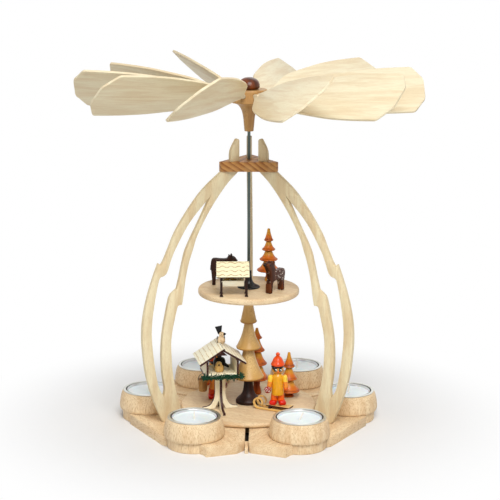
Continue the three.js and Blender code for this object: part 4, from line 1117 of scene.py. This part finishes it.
class CAROUSEL_OT_blades(Step, bpy.types.Operator):
    """Saw the blades, peg them and stand each at its own pitch in the hub."""
    bl_idname = "carousel.blades"
    bl_label = "Blades"

    def execute(self, context):
        r = context.scene.carousel_rotor
        root, tip, half, peg = r.blade_root / MM, r.blade_tip / MM, r.blade_half / MM, r.peg / MM
        upper = scaled(BLADE_HALF, tip - root, half, (root, 0))
        upper = flowing(upper, (0, 10, 11, 12, 13, 14), closed=False)
        line = eased([(x, -y) for x, y in upper] + upper[::-1], 3.2, 4)
        peg_form = [(0, PEG_START), (peg - 0.3, PEG_START), (peg, PEG_START + 0.3), (peg, 24.4), (0, 26)]
        tree = stance_tree()
        for k, (pitch, rise, swing) in enumerate(zip(BLADE_PITCH, BLADE_RISE, BLADE_SWING)):
            timber = at(170 * k, 23 * k, 9 * k)
            blade = Shape("blade").board(line, r.blade_board / MM, 0.3, None, timber)
            piece = blade.turned(peg_form, 24, LIE_ALONG, timber @ LIE_ALONG).bare(f"blade_{k + 1}_sawn")
            tree.grow(
                piece, Pitch=r.pitch * pitch, Rise=r.rise * rise,
                Swing=r.turn + 2 * math.pi * k / len(BLADE_PITCH) + r.swing * swing,
                Height=r.blade_height, Finish=made["blade"])
            settle(piece, f"vane_{k + 1}", [f"blade_{k + 1}"])
        return {"FINISHED"}


def disc(node, name, hole):
    """A disc with a rounded rim."""
    bottom, top, radius, curve = low(node), high(node), radius_of(node), 1.9
    bend = (0, 0.4, 0.8, 1.2, 1.57)
    side = [(radius - curve * (1 - math.sin(t)), bottom + curve * (1 - math.cos(t))) for t in bend]
    side += [(radius - curve * (1 - math.cos(t)), top - curve * (1 - math.sin(t))) for t in bend]
    rows = [(hole, bottom)] + side + [(hole, top)]
    return Shape("disc").turned(rows, 128, None, tipped(0.35, "Z"), bored=True).make(name, "rotor", [node])


def trunk(hole):
    """The trunk of the central tree, bored for the shaft."""
    bottom, top = low("tree_trunk"), high("tree_trunk")
    profile = flowing(scaled(TRUNK, radius_of("tree_trunk"), top - bottom, (0, bottom)), (0, 1), closed=False)
    rows = [(hole, bottom)] + eased(profile, 0.4) + [(hole, top)]
    form = Shape("dark").turned(rows, 72, None, GRAIN_Z, bored=True)
    return form.make("trunk", "rotor", ["tree_trunk"], "dark_wood")


def tier(bottom, top, brim, neck, inside, thick, burnt=0.62):
    """One flared tier: a rounded brim, burnt darkest, and a curved flank that grows pale towards its neck."""
    rise, flare = top - bottom, brim - neck
    rows = [
        (inside, bottom, 1.0), (brim - 0.5, bottom + thick * 0.35, 1.0), (brim, bottom + thick * 0.8, 0.85),
        (brim - 0.1, bottom + thick * 1.15, 0.7)]
    cone = [
        (brim - 0.6, bottom + thick * 1.5), (neck + flare * 0.58, bottom + rise * 0.34),
        (neck + flare * 0.29, bottom + rise * 0.58), (neck + flare * 0.08, bottom + rise * 0.84), (neck, top)]
    for x, z in flowing(cone, (), 4, False):
        rows.append((x, z, max(0.05, burnt * (1 - 1.2 * (z - bottom) / rise))))
    return rows


def big_tier(node, name, hole):
    """One tier of the central tree."""
    bottom, top, radius = low(node), high(node), radius_of(node)
    rows = tier(bottom, top, radius, max(radius * 0.35, 3.0), radius * 0.72, 2.0)
    rows = [(hole, bottom, 0.9)] + rows + [(hole, top, 0.2)]
    form = Shape("tier").turned(rows, 80, None, GRAIN_Z, bored=True)
    return form.make(name, "rotor", [node], "tier_wood", 40)


class CAROUSEL_OT_discs(Step, bpy.types.Operator):
    """Turn the two discs and the tree between them."""
    bl_idname = "carousel.discs"
    bl_label = "Discs and central tree"

    def execute(self, context):
        hole = radius_of("shaft") + BORE_GAP
        disc("lower_disc", "disc_low", hole)
        disc("upper_disc", "disc_high", hole)
        trunk(hole)
        for node, name in (("bottom", "low"), ("middle", "middle"), ("top", "high")):
            big_tier(f"tree_tier_{node}", f"tier_{name}", hole)
        return {"FINISHED"}


def small_tree(node, name, foot, foot_burn, brims):
    """A little turned tree; brims are the height and radius of each of its tiers."""
    height = high(node) - low(node)
    rows = [(0, 0, foot_burn), (foot, 0, foot_burn), (foot + 0.3, 1.0, foot_burn)]
    if brims[0][0] > 4:
        rows += [(foot * 0.72, brims[0][0] * 0.55, 0.9), (foot * 0.8, brims[0][0] - 1, 1.0)]
    for k, (z, radius) in enumerate(brims):
        last = k + 1 == len(brims)
        top = height - 0.4 if last else brims[k + 1][0] - 0.2
        neck = 1.2 if last else brims[k + 1][1] * 0.5
        rows += tier(z - 0.6, top, radius, neck, max(radius * 0.55, neck), 1.3, 1.15)
    rows += [(0.7, height + 0.05, 0.1), (0, height + 0.1, 0.1)]
    form = Shape("scorched").turned(rows, 56, at(*middle(node)), GRAIN_Z)
    return form.make(name, "rotor", [node], "orange_wood", 40)


class CAROUSEL_OT_small_trees(Step, bpy.types.Operator):
    """Turn the small scorched trees."""
    bl_idname = "carousel.small_trees"
    bl_label = "Small trees"

    def execute(self, context):
        for node, name, foot, foot_burn, brims in (
                ("upper_tree", "tree_high", 3.2, 0.15, [(8.9, 10.3), (18.6, 8.0), (27.5, 5.9), (35.9, 4.1)]),
                ("lower_tree_big", "tree_big", 4.0, 0.8, [
                    (13.8, 10.6), (27.5, 9.1), (39.7, 7.1), (51.2, 4.7)]),
                ("lower_tree_small", "tree_small", 4.4, 0.8, [(4.8, 9.8), (15.9, 7.3), (27.2, 5.2)])):
            small_tree(node, name, foot, foot_burn, brims)
        return {"FINISHED"}


def deer(node, name, shares, length, height, turn, coat, skin, neck, fore, hind):
    """A sawn deer with a painted coat; neck, fore and hind are shares of its length."""
    board, over = 5.4, 5.7
    a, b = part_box(node)
    local = at(turn=turn)
    reach = [
        local @ Vector(((u - 0.5) * length, side * board / 2, v * height))
        for u, v in shares for side in (-1, 1)]
    shift = Vector(((a.x + b.x) / 2 / MM, (a.y + b.y) / 2 / MM, a.z / MM))
    shift -= Vector((
        (min(p.x for p in reach) + max(p.x for p in reach)) / 2,
        (min(p.y for p in reach) + max(p.y for p in reach)) / 2, 0))
    place = at(*shift) @ local
    feet = {k for k, (u, v) in enumerate(shares) if v == 0}
    ears = {len(shares) - k for k in (2, 3, 4, 5)}
    line = flowing(scaled(shares, length, height, (-length / 2, 0)), {0} | feet | ears, 4)
    body = Shape(coat).board(line, board, 0.9, place @ STAND_UP, GRAIN_UP)
    body.make(name, "rotor", [node], "deer_brown", 45)

    def along(share):
        return (share - 0.5) * length

    head, cut = Shape(skin), along(neck)
    front = [(min(x, cut), z) for x, z in line if x < cut + 1.2]
    head.board(front, over, 0.9, place @ STAND_UP, GRAIN_UP)
    for u0, u1 in (fore, hind):
        x0, x1 = along(u0), along(u1)
        head.block(x1 - x0 + 0.3, over, height * 0.3, place @ at((x0 + x1) / 2), 0.7, GRAIN_Z)
    ear = [(0, -1.4), (0.9, -0.4), (1.1, 0.9), (0.5, 2.1), (0, 2.5)]
    eye, nose = along(shares[0][0] + 0.15), Vector((shares[0][0] - 0.5, 0, shares[0][1]))
    for side in (-1, 1):
        root = place @ at(along(neck - 0.12), side * 1.9, height * 0.93)
        head.turned(ear, 16, root @ tipped(side * -0.6, "X"))
        head.ball(0.75, place @ at(eye, side * 2.6, height * 0.9), finish="black")
    head.ball(0.9, place @ at(nose.x * length + 0.4, 0, nose.z * height), finish="black")
    tail = (Vector((length * 0.46, 0, height * 0.62)), Vector((length * 0.49, 0, height * 0.5)))
    head.limb(place @ tail[0], place @ tail[1], 1.3, 0.8)
    head.make(f"{name}_head", "rotor", (), "deer_brown", 50)


class CAROUSEL_OT_deer(Step, bpy.types.Operator):
    """Saw the two deer and paint their coats."""
    bl_idname = "carousel.deer"
    bl_label = "Deer"

    def execute(self, context):
        deer(
            "deer_right", "deer_near", DEER_NEAR, length=25, height=27.5, turn=54, coat="fawn", skin="legs",
            neck=0.42, fore=(0.11, 0.22), hind=(0.79, 0.9))
        deer(
            "deer_left", "deer_far", DEER_FAR, length=23.4, height=27, turn=180, coat="dark", skin="dark",
            neck=0.36, fore=(0.16, 0.28), hind=(0.83, 0.94))
        return {"FINISHED"}


def rack_frame(place):
    """Four posts with spread feet, two gables and two rails."""
    rack = Shape("edge")
    side = [(1.5, 0), (0.9, 2.2), (0.9, 15), (1.3, RACK_EAVE + 4.4)]
    post = [(-1.5, 0)] + side + [(-x, z) for x, z in side[:0:-1]]
    gable = [(-8.6, RACK_EAVE), (8.6, RACK_EAVE), (0, RACK_EAVE + 8.2)]
    for sx in (-1, 1):
        for sy in (-1, 1):
            corner = place @ at(sx * (RACK_WIDTH - RACK_POST) / 2 + 0.9, sy * (RACK_DEPTH - RACK_POST) / 2)
            rack.board(post, RACK_POST, 0.25, corner @ STAND_UP, GRAIN_UP, finish="dark", rim="edge")
        rack.board(gable, 1.6, 0.25, place @ at(sx * (RACK_WIDTH / 2 + 0.6), turn=90) @ STAND_UP)
    for sy in (-1, 1):
        rack.block(RACK_WIDTH, 1.3, 2.2, place @ at(0.9, sy * (RACK_DEPTH - RACK_POST) / 2, 16.6), 0.25)
    rack.make("rack_frame", "rotor", ["hay_rack"], "cream_board")


def rack_trough(place):
    """A floor and two slanting sides."""
    trough, inside = Shape("cream"), RACK_WIDTH - 2 * RACK_POST
    for sy in (-1, 1):
        trough.block(inside, 1.3, 5.4, place @ at(0, sy * 4.3, 8.8) @ tipped(sy * -0.35, "X"))
    trough.block(inside, 8.2, 1.2, place @ at(z=8.6))
    trough.make("rack_trough", "rotor", (), "cream_board")


def rack_hay(place):
    """Stalks strewn in the trough; each lies at an angle that follows from its number."""
    hay, length, width, pile = Shape("hay"), 15.6, 6.8, 12.2
    stalk = [(0, -2.6), (0.3, -2.4), (0.35, 0), (0.22, 2.5), (0, 2.6)]
    for k in range(46):
        x = -length / 2 + length * ((k * 0.618) % 1)
        y = -width / 2 + width * ((k * 0.381) % 1)
        lean = Euler((0.9 * math.sin(k * 2.1), 1.2 + 0.5 * math.sin(k * 1.3), k * 1.7)).to_matrix().to_4x4()
        hay.turned(stalk, 6, place @ at(x, y, pile + 1.6 * math.sin(k * 0.9)) @ lean, GRAIN_Z)
    hay.make("rack_hay", "rotor", (), "cream_board")


def rack_roof(place):
    """Two roof panels."""
    roof, span, rise, half_length, board = Shape("thatch"), 11.6, 11.2, 14, 1.5
    slope, length = math.atan2(rise, span), math.hypot(rise, span)
    panel = [(-half_length, 0), (half_length, 0), (half_length, length), (-half_length, length)]
    for side in (-1, 1):
        lean = tipped(slope, "X") if side > 0 else at(turn=180) @ tipped(slope, "X")
        lift = place @ at(0, side * -span, RACK_EAVE - 0.2) @ lean
        roof.board(panel, board, 0.3, lift @ at(z=-board / 2), rim="edge")
    roof.make("rack_roof", "rotor", (), "cream_board")


class CAROUSEL_OT_rack(Step, bpy.types.Operator):
    """Build the hay rack with its roof, trough and hay."""
    bl_idname = "carousel.rack"
    bl_label = "Hay rack"

    def execute(self, context):
        place = at(*middle("hay_rack"), 3)
        for part in (rack_frame, rack_trough, rack_hay, rack_roof):
            part(place)
        return {"FINISHED"}


def feeder_legs(place, ground):
    """Two crossed boards with curved feet."""
    stand, top, stem = Shape("cream"), high("feeder_stand") - ground, 4.7
    for reach, turn in ((15.4, 0), (21, 90)):
        half = [
            (reach, 0), (reach, 1.9), (reach * 0.74, 2.5), (reach * 0.56, 3.9), (reach * 0.44, 6.4),
            (max(stem, reach * 0.36), 9.3), (stem, 13.5), (stem, top)]
        right = flowing(half, (0, 1, 6, 7), closed=False)
        arch = [(-stem, 0), (-stem / 2, 5.2), (0, 7.5), (stem / 2, 5.2), (stem, 0)]
        arch = flowing(arch, (0, 4), closed=False)
        line = [(-x, z) for x, z in right[::-1]] + arch + right
        stand.board(line, 2.4, 0.25, place @ at(turn=turn) @ STAND_UP, GRAIN_UP, rim="edge")
    stand.make("stand_boards", "rotor", ["feeder_stand"], "cream_board")


def bird_house(place, ground):
    """The floor, two side walls, the rims at front and back, and the gables."""
    floor, ridge = low("bird_house") - ground, high("feeder_roof") - ground
    front, back, half = HOUSE_FRONT, HOUSE_BACK, 14.5
    house = Shape("cream")
    base = [(-half, front), (half, front), (half, back), (-half, back)]
    house.board(base, 2, 0.25, place @ at(z=floor + 1), rim="edge")
    wall = [(y, floor + z) for y, z in (
        (front + 0.2, 1.5), (back - 0.2, 1.5), (back - 0.2, 15.2), (front + 0.2, 15.2))]
    for side in (-1, 1):
        house.board(wall, 1.9, 0.2, place @ at(side * (half - 1.3), turn=90) @ STAND_UP, rim="edge")
    rim = [(2 - half, floor), (half - 2, floor), (half - 2, floor + 3.4), (2 - half, floor + 3.4)]
    gable = [(-4, ridge - 6.4), (4, ridge - 6.4), (0, ridge - 2.6)]
    for y in (front + 0.8, back - 0.8):
        house.board(rim, 1.4, 0.25, place @ at(0, y) @ STAND_UP)
    for y in (front + 1, back - 1):
        house.board(gable, 1.8, 0.2, place @ at(0, y) @ STAND_UP, finish="edge")
    house.make("house_boards", "rotor", ["bird_house"], "cream_board")


def seed(place, ground):
    """Grains on the house's floor and along its front rim; each lies where its number puts it."""
    floor, grains, on_rim = low("bird_house") - ground, 130, 60
    grain_form = [(0, -1.0), (0.6, -0.4), (0.65, 0.3), (0, 1.1)]
    scattered = Shape("cream")
    for k in range(grains):
        x = 11.8 * math.sin(k * 2.399)
        y, z = 2.3 + 13 * math.sin(k * 1.13), 2.3
        if k < on_rim:
            y, z = HOUSE_FRONT + 0.9 + 0.8 * math.sin(k * 1.7), 3.1 + 0.7 * math.sin(k * 0.9)
        lean = Euler((k * 1.3, k * 0.7, k * 2.1)).to_matrix().to_4x4()
        scattered.turned(grain_form, 8, place @ at(x, y, floor + z) @ lean)
    scattered.make("scattered_seed", "rotor", (), "cream_board", 60)


def house_roof(place, ground):
    """Two planked panels, of which the left one laps over the other, and a ridge strip."""
    ridge, span, rise, board = high("feeder_roof") - ground, 20.6, 13, 1.8
    front, back = HOUSE_FRONT - 2.5, HOUSE_BACK + 2.5
    slope, length = math.atan2(rise, span), math.hypot(rise, span)
    planks = Shape("planks")
    for turn, a, b, lap in ((0, front, back, 1.1), (180, -back, -front, 0)):
        lean = place @ at(turn=turn) @ at(-span, 0, ridge - rise) @ tipped(-slope, "Y")
        panel = [(0, a), (length + lap, a), (length + lap, b), (0, b)]
        planks.board(panel, board, 0.25, lean @ at(z=-board / 2), GRAIN_UP, rim="edge")
    strip = place @ at(0.6, (front + back) / 2, ridge - 0.75)
    planks.block(0.9, back - front - 0.2, 1, strip, 0.2, finish="edge")
    planks.make("roof_boards", "rotor", ["feeder_roof"], "cream_board")


def garland(place, ground, r):
    """Green needles that grow from five lines round the front of the house's floor."""
    floor, side_end, length = low("garland") - ground, -10.5, r.garland_needle / MM
    spike = [(0, -0.2), (0.42, 0.3), (0.34, 0.7 * length), (0, length)]
    needle = Shape("green").turned(spike, 5).bare("needle")
    points, edges = [], []
    for half, y, z in (
            (15.9, -15.2, 3.0), (16.4, -15.7, 2.3), (16.7, -16, 1.6), (16.4, -15.7, 0.9), (15.9, -15.2, 0.3)):
        start = len(points)
        for px, py in ((-half, side_end), (-half, y), (half, y), (half, side_end)):
            points.append((place @ Vector((px, py, floor + z))) * MM)
        edges += [(start + k, start + k + 1) for k in range(3)]
    mesh = bpy.data.meshes.new("garland_needles")
    mesh.from_pydata(points, edges, [])
    piece = bpy.data.objects.new("garland_needles", mesh)
    bpy.context.scene.collection.objects.link(piece)
    needle_tree().grow(piece, Needle=needle, Step=r.garland_step, Seed=7, Finish=made["green"])
    bpy.data.objects.remove(needle)
    settle(piece, "rotor", ["garland"])


def roof_bird(place, ground):
    """The turned bird on the roof, with its tail raised."""
    bird, seat = Shape(), place @ at(2.2, 6.5, high("feeder_roof") - ground - 1.5)
    bird.turned(flowing(ROOF_BIRD, (0, 5), 4, False), 32, seat, GRAIN_Z)
    bird.ball(2.3, seat @ at(0.4, -0.4, 8.6))
    for side in (-1, 1):
        bird.ball(0.5, seat @ at(1.0 + side * 0.9, -2.2, 9.2), finish="black")
    beak = [(0, 0), (1.5, 0.2), (1.1, 1.2), (0, 2.6)]
    bird.turned(beak, 16, seat @ at(1.9, -1.0, 8.9) @ tipped(1.5, "Y"), finish="black")
    tail = [(-1.4, 0), (1.4, 0), (3.2, 7.2), (-3.2, 7.2)]
    bird.board(tail, 0.9, 0.25, seat @ at(-1.0, 1.2, 8.6) @ tipped(-0.16, "Y") @ STAND_UP, finish="black")
    wing = [(-1.6, 0), (1.4, 0.3), (1.9, 3.6), (0.6, 5.6), (-0.9, 4.6)]
    for side in (-1, 1):
        shoulder = seat @ at(side * 3.1, 0.6, 1.2) @ tipped(1.57, "Z")
        bird.board(wing, 0.7, 0.2, shoulder @ STAND_UP, finish="black")
    bird.make("roof_bird", "rotor", (), "beech", 45)


def feeding_birds(place, ground):
    """A pale and a black turned bird on the house's floor."""
    floor = low("bird_house") - ground + 2.1
    birds = Shape("sled")
    pale, dark = place @ at(-0.6, 0.6, floor), place @ at(1.6, 12.2, floor)
    birds.turned(flowing(PALE_BIRD, (0, 4), 4, False), 32, pale, GRAIN_Z)
    birds.ball(2.8, pale @ at(-0.4, -0.6, 6.6))
    beak = [(0, 0), (0.9, 0.2), (0, 2.0)]
    birds.turned(beak, 12, pale @ at(-0.7, -3.1, 6.8) @ tipped(1.5, "X"), finish="black")
    birds.turned(flowing(DARK_BIRD, (0, 4), 4, False), 32, dark, GRAIN_Z, "black")
    birds.ball(3.0, dark @ at(-1.2, -1.0, 10.8), finish="black")
    birds.limb(dark @ Vector((3.0, -1, 4.6)), dark @ Vector((7.2, -2.6, 1.6)), 1.8, 1.0, finish="black")
    beak = [(0, 0), (0.8, 0.2), (0, 2.2)]
    birds.turned(beak, 12, dark @ at(-2.8, -3.0, 10.8) @ tipped(1.5, "X"), finish="amber")
    birds.make("feeding_birds", "rotor", (), "beech", 45)


class CAROUSEL_OT_feeder(Step, bpy.types.Operator):
    """Build the bird house on its stand, with its roof, garland and birds."""
    bl_idname = "carousel.feeder"
    bl_label = "Bird house"

    def execute(self, context):
        place, ground = at(*middle("feeder_stand"), 12), low("feeder_stand")
        for part in (feeder_legs, bird_house, seed, house_roof):
            part(place, ground)
        garland(place, ground, context.scene.carousel_rotor)
        roof_bird(place, ground)
        feeding_birds(place, ground)
        return {"FINISHED"}


def arm(body, place, side, hem, sleeve):
    """An arm of two parts with its cuff and hand."""
    shoulder, wrist = Vector((side * 6.1, -0.6, hem + 15.0)), Vector((side * 7.2, -1.6, hem + 7.4))
    elbow = shoulder.lerp(wrist, 0.5)
    body.limb(place @ shoulder, place @ elbow, 2.3, 2.1, finish=sleeve)
    body.limb(place @ elbow, place @ wrist, 2.12, 2.0, finish="amber")
    body.turned(CUFF, 24, place @ at(wrist.x, wrist.y, wrist.z - 1.6), finish="amber")
    body.ball(1.9, place @ at(*(wrist + Vector((side * 0.1, -0.3, -2.2)))), finish="orange")


def leg(body, place, side, hem, trousers):
    """A trouser leg in its boot."""
    body.block(5.9, 9.2, 3.8, place @ at(side * 3.7, -1.6, 0, side * 12), 1.2, finish="boots")
    rows = [(0, 2.8), (3.0, 2.8), (2.95, 4.8), (2.85, 6.4), (2.6, hem + 0.4), (0, hem + 0.4)]
    body.turned(rows, 24, place @ at(side * 2.95, -0.2), finish=trousers)


def face(body, place, head):
    """A plain round head with its fringe, eyes and nose."""
    body.ball(5.1, place @ at(z=head), 0.98, 40, "skin")
    body.turned(raised(FRINGE, head), 40, place @ at(-0.2, 0.35), bored=True, finish="black")
    body.ball(1.9, place @ at(-3.0, -3.4, head + 1.4), 0.8, finish="black")
    for side in (-1, 1):
        eye = place @ at(side * 2.05 + 0.3, -4.3, head - 0.1)
        body.ball(1.65, eye, 1.0, 20, "black")
        body.ball(1.15, eye @ at(0.15, -0.72), 1.0, 20, "white")
        body.ball(0.7, eye @ at(0.05, -1.4, -0.1), 1.0, 16, "black")
    body.ball(0.85, place @ at(0.3, -5.2, head - 1.8), finish="orange")


def child(name, node, place, coat, sleeve, trousers):
    """One turned and painted child."""
    hem = 8.8
    neck = hem + COAT[-1][1]
    head = neck + 4.3
    brim = head + 2.9
    tip = brim + HAT[-1][1]
    body = Shape(coat)
    side = flowing(raised(COAT, hem), (0,), closed=False)
    body.turned([(0, hem + COAT[0][1])] + side + [(0, neck)], 48, place, GRAIN_Z)
    for hand in (-1, 1):
        arm(body, place, hand, hem, sleeve)
        leg(body, place, hand, hem, trousers)
    face(body, place, head)
    hat = flowing(raised(HAT, brim), (0,), 4, False)
    body.turned([(0, brim)] + hat + [(0, tip)], 48, place, finish="red")
    body.ball(1.8, place @ at(z=tip + 1), finish="red")
    body.make(name, "rotor", [node], "yellow_paint", 45)


def toy(name, radius, place):
    """A dotted wooden ball."""
    Shape("dots").ball(radius, place, 1.0, 32).make(name, "rotor", (), "red_paint", 60)


def bucket(place):
    """A turned bucket with two hoops and a wire handle."""
    pail, hoop = Shape("hub"), [(0, 0), (0.3, 0.2), (0.35, 1.0), (0.1, 1.2)]
    wall = [(0, 0), (3.2, 0), (3.5, 0.6), (4.2, 10.4), (4.2, 11), (3.6, 11), (3.5, 10), (3.3, 8.4), (0, 8.4)]
    pail.turned(eased(wall, 0.3), 48, place, GRAIN_Z)
    for z in (2.0, 9.4):
        pail.turned([(3.42 + 0.07 * z + out, z + up) for out, up in hoop], 48, place, bored=True)
    bend = [math.pi * k / 14 for k in range(15)]
    wire = [place @ Vector((4.4 * math.cos(t), 0, 10.4 + 5.6 * math.sin(t))) for t in bend]
    for a, b in zip(wire, wire[1:]):
        pail.limb(a, b, 0.3, 0.3, 8, "steel")
    pail.make("bucket", "rotor", (), "beech")


def sled(place):
    """Two curled runners, three slats and two bars."""
    start, curl, bar, steps = -SLED_LENGTH / 2, 5.6, 1.8, 28
    outer, inner = [], []
    for k in range(steps + 1):
        t = math.radians(-90 + 305 * k / steps)
        r = curl * (1 - 0.25 * k / steps)
        thinner = r - bar * (1 - 0.3 * k / steps)
        for line, radius in ((outer, r), (inner, thinner)):
            line.append((-start - curl + radius * math.cos(t), curl + radius * math.sin(t)))
    runner = [(start, 0)] + outer + inner[::-1] + [(start, bar)]
    seat = SLED_LENGTH - 2 * curl - bar
    strip = [(0, -1.4), (seat, -1.4), (seat, 1.4), (0, 1.4)]
    boards = Shape("sled")
    for side in (-1, 1):
        boards.board(runner, bar, 0.25, place @ at(0, side * (SLED_WIDTH - bar) / 2) @ STAND_UP)
    for k in (-1, 0, 1):
        boards.board(strip, 1.3, 0.25, place @ at(start, k * 3.1, 4.35), rim="edge")
    for share in (0.14, 0.86):
        boards.block(2.0, SLED_WIDTH - 0.2, 2.3, place @ at(start + share * seat, 0, 1.5), finish="edge")
    boards.make("sled_boards", "rotor", ["sled"], "cream_board", 40)


class CAROUSEL_OT_children(Step, bpy.types.Operator):
    """Turn and paint the two children, the sled, the balls and the bucket."""
    bl_idname = "carousel.children"
    bl_label = "Children and sled"

    def execute(self, context):
        spot = at(turn=-44.6) @ Vector((30.3, 0, 0))
        runners = at(spot.x, spot.y, low("sled"), 155)
        rider = runners @ at(-0.094 * SLED_LENGTH, -0.293 * SLED_WIDTH, 5.3, -155)
        helper = at(-30.1, 13.1, low("child_with_bucket"), 20)
        sled(runners)
        child("rider", "child_on_sled", rider, "yellow", "straw", "orange")
        toy("dotted_ball", 3.1, rider @ at(-8.6, -4.0, 13.4))
        child("helper", "child_with_bucket", helper, "amber", "amber", "red")
        toy("red_ball", 3.2, helper @ at(7.4, -3.4, 11.4))
        bucket(helper @ at(-11.6, -1.6, 7.2))
        return {"FINISHED"}


def stage_floor():
    """A pale floor, white to the eye away from the object, with a painted shadow under the base that shows
    dark through the base's slits.
    """
    mesh = bpy.data.meshes.new("floor")
    mesh.from_pydata([(-9, -9, 0), (9, -9, 0), (9, 9, 0), (-9, 9, 0)], [], [(0, 1, 2, 3)])
    floor = bpy.data.objects.new("floor", mesh)
    bpy.context.scene.collection.objects.link(floor)
    finish = Finish("floor", Roughness=0.9, Specular_IOR_Level=0.1)
    away = finish.add("ShaderNodeVectorMath", {"operation": "LENGTH"}, {0: finish.own_place()}, "Value")
    # Painted shadow: within 80 millimetres of the axis the floor takes a dark colour, as the shade under the
    # base.
    shadow, pale = linear((0.2, 0.18, 0.16)), linear((0.91, 0.91, 0.91))
    finish.set(Base_Color=finish.mix(away.span(0.080, 0.084), shadow, pale))
    white = finish.add("ShaderNodeEmission", None, {"Color": WHITE, "Strength": 1.0})
    mixed = finish.add("ShaderNodeMixShader", None, {
        0: finish.seen() * away.span(0.10, 0.26), 1: Value(finish, finish.shader.outputs[0]), 2: white})
    finish.put(finish.out.inputs[0], mixed)
    mesh.materials.append(finish.material)


def sky(strength):
    """An even light that shows as plain white."""
    world = bpy.data.worlds.new("even light")
    world.use_nodes = True
    nodes = Nodes(world.node_tree)
    out = nodes.tree.nodes.new("ShaderNodeOutputWorld")
    even = nodes.add("ShaderNodeBackground", None, {"Color": WHITE, "Strength": strength})
    bright = nodes.add("ShaderNodeBackground", None, {"Color": WHITE, "Strength": 1.0})
    nodes.put(out.inputs[0], nodes.add("ShaderNodeMixShader", None, {0: nodes.seen(), 1: even, 2: bright}))
    return world


def lamp(name, place, width, power):
    """A square lamp that looks at the middle of the carousel."""
    light = bpy.data.lights.new(name, "AREA")
    light.size, light.energy = width, power
    holder = bpy.data.objects.new(name, light)
    holder.location = place
    holder.rotation_euler = (Vector((0, 0, 0.16)) - Vector(place)).to_track_quat("-Z", "Y").to_euler()
    bpy.context.scene.collection.objects.link(holder)


def camera(s):
    """The photograph's view."""
    lens = bpy.data.cameras.new("camera")
    lens.lens, lens.sensor_width = s.lens, 36
    lens.clip_start, lens.clip_end = 0.05, 30
    holder = bpy.data.objects.new("camera", lens)
    look = tipped(s.heading, "Z") @ tipped(math.pi / 2 - s.tilt, "X")
    holder.matrix_world = Matrix.Translation(s.place) @ look @ tipped(s.roll, "Z")
    bpy.context.scene.collection.objects.link(holder)
    return holder


class CAROUSEL_OT_stage(Step, bpy.types.Operator):
    """Set the floor, the even light, the lamps and the camera."""
    bl_idname = "carousel.stage"
    bl_label = "Stage"

    def execute(self, context):
        s = context.scene.carousel_stage
        stage_floor()
        context.scene.world = sky(s.sky)
        lamp("key", (0.2, -1.25, 1.5), 0.9, s.key)
        lamp("fill", (-1.6, -0.8, 0.9), 1.2, s.fill)
        lamp("back", (0.6, 1.3, 1.4), 1.2, s.back)
        context.scene.camera = camera(s)
        context.scene.view_settings.view_transform = "Standard"
        return {"FINISHED"}


STEPS = (
    CAROUSEL_OT_finishes, CAROUSEL_OT_base, CAROUSEL_OT_arches, CAROUSEL_OT_top_plate, CAROUSEL_OT_cups,
    CAROUSEL_OT_tea_lights, CAROUSEL_OT_shaft, CAROUSEL_OT_blades, CAROUSEL_OT_discs, CAROUSEL_OT_small_trees,
    CAROUSEL_OT_deer, CAROUSEL_OT_rack, CAROUSEL_OT_feeder, CAROUSEL_OT_children, CAROUSEL_OT_stage,
)
GROUPS = {
    "carousel_stand": CarouselStandSizes, "carousel_rotor": CarouselRotorSizes,
    "carousel_colours": CarouselColours, "carousel_stage": CarouselStageSizes,
}


class CAROUSEL_PT_panel(bpy.types.Panel):
    """The carousel's steps and sizes."""
    bl_idname = "CAROUSEL_PT_panel"
    bl_label = "Candle carousel"
    bl_space_type = "VIEW_3D"
    bl_region_type = "UI"
    bl_category = "Carousel"

    def draw(self, context):
        for step in STEPS:
            self.layout.operator(step.bl_idname)
        for name in GROUPS:
            group, box = getattr(context.scene, name), self.layout.box()
            for key in group.bl_rna.properties.keys():
                if key not in ("name", "rna_type"):
                    box.prop(group, key)


def register():
    for kind in (*GROUPS.values(), *STEPS, CAROUSEL_PT_panel):
        bpy.utils.register_class(kind)
    for name, group in GROUPS.items():
        setattr(bpy.types.Scene, name, bpy.props.PointerProperty(type=group))


def unregister():
    for name in GROUPS:
        delattr(bpy.types.Scene, name)
    for kind in reversed((*GROUPS.values(), *STEPS, CAROUSEL_PT_panel)):
        bpy.utils.unregister_class(kind)


def main():
    register()
    for step in STEPS:
        family, name = step.bl_idname.split(".")
        getattr(getattr(bpy.ops, family), name)()


if __name__ == "__main__":
    main()
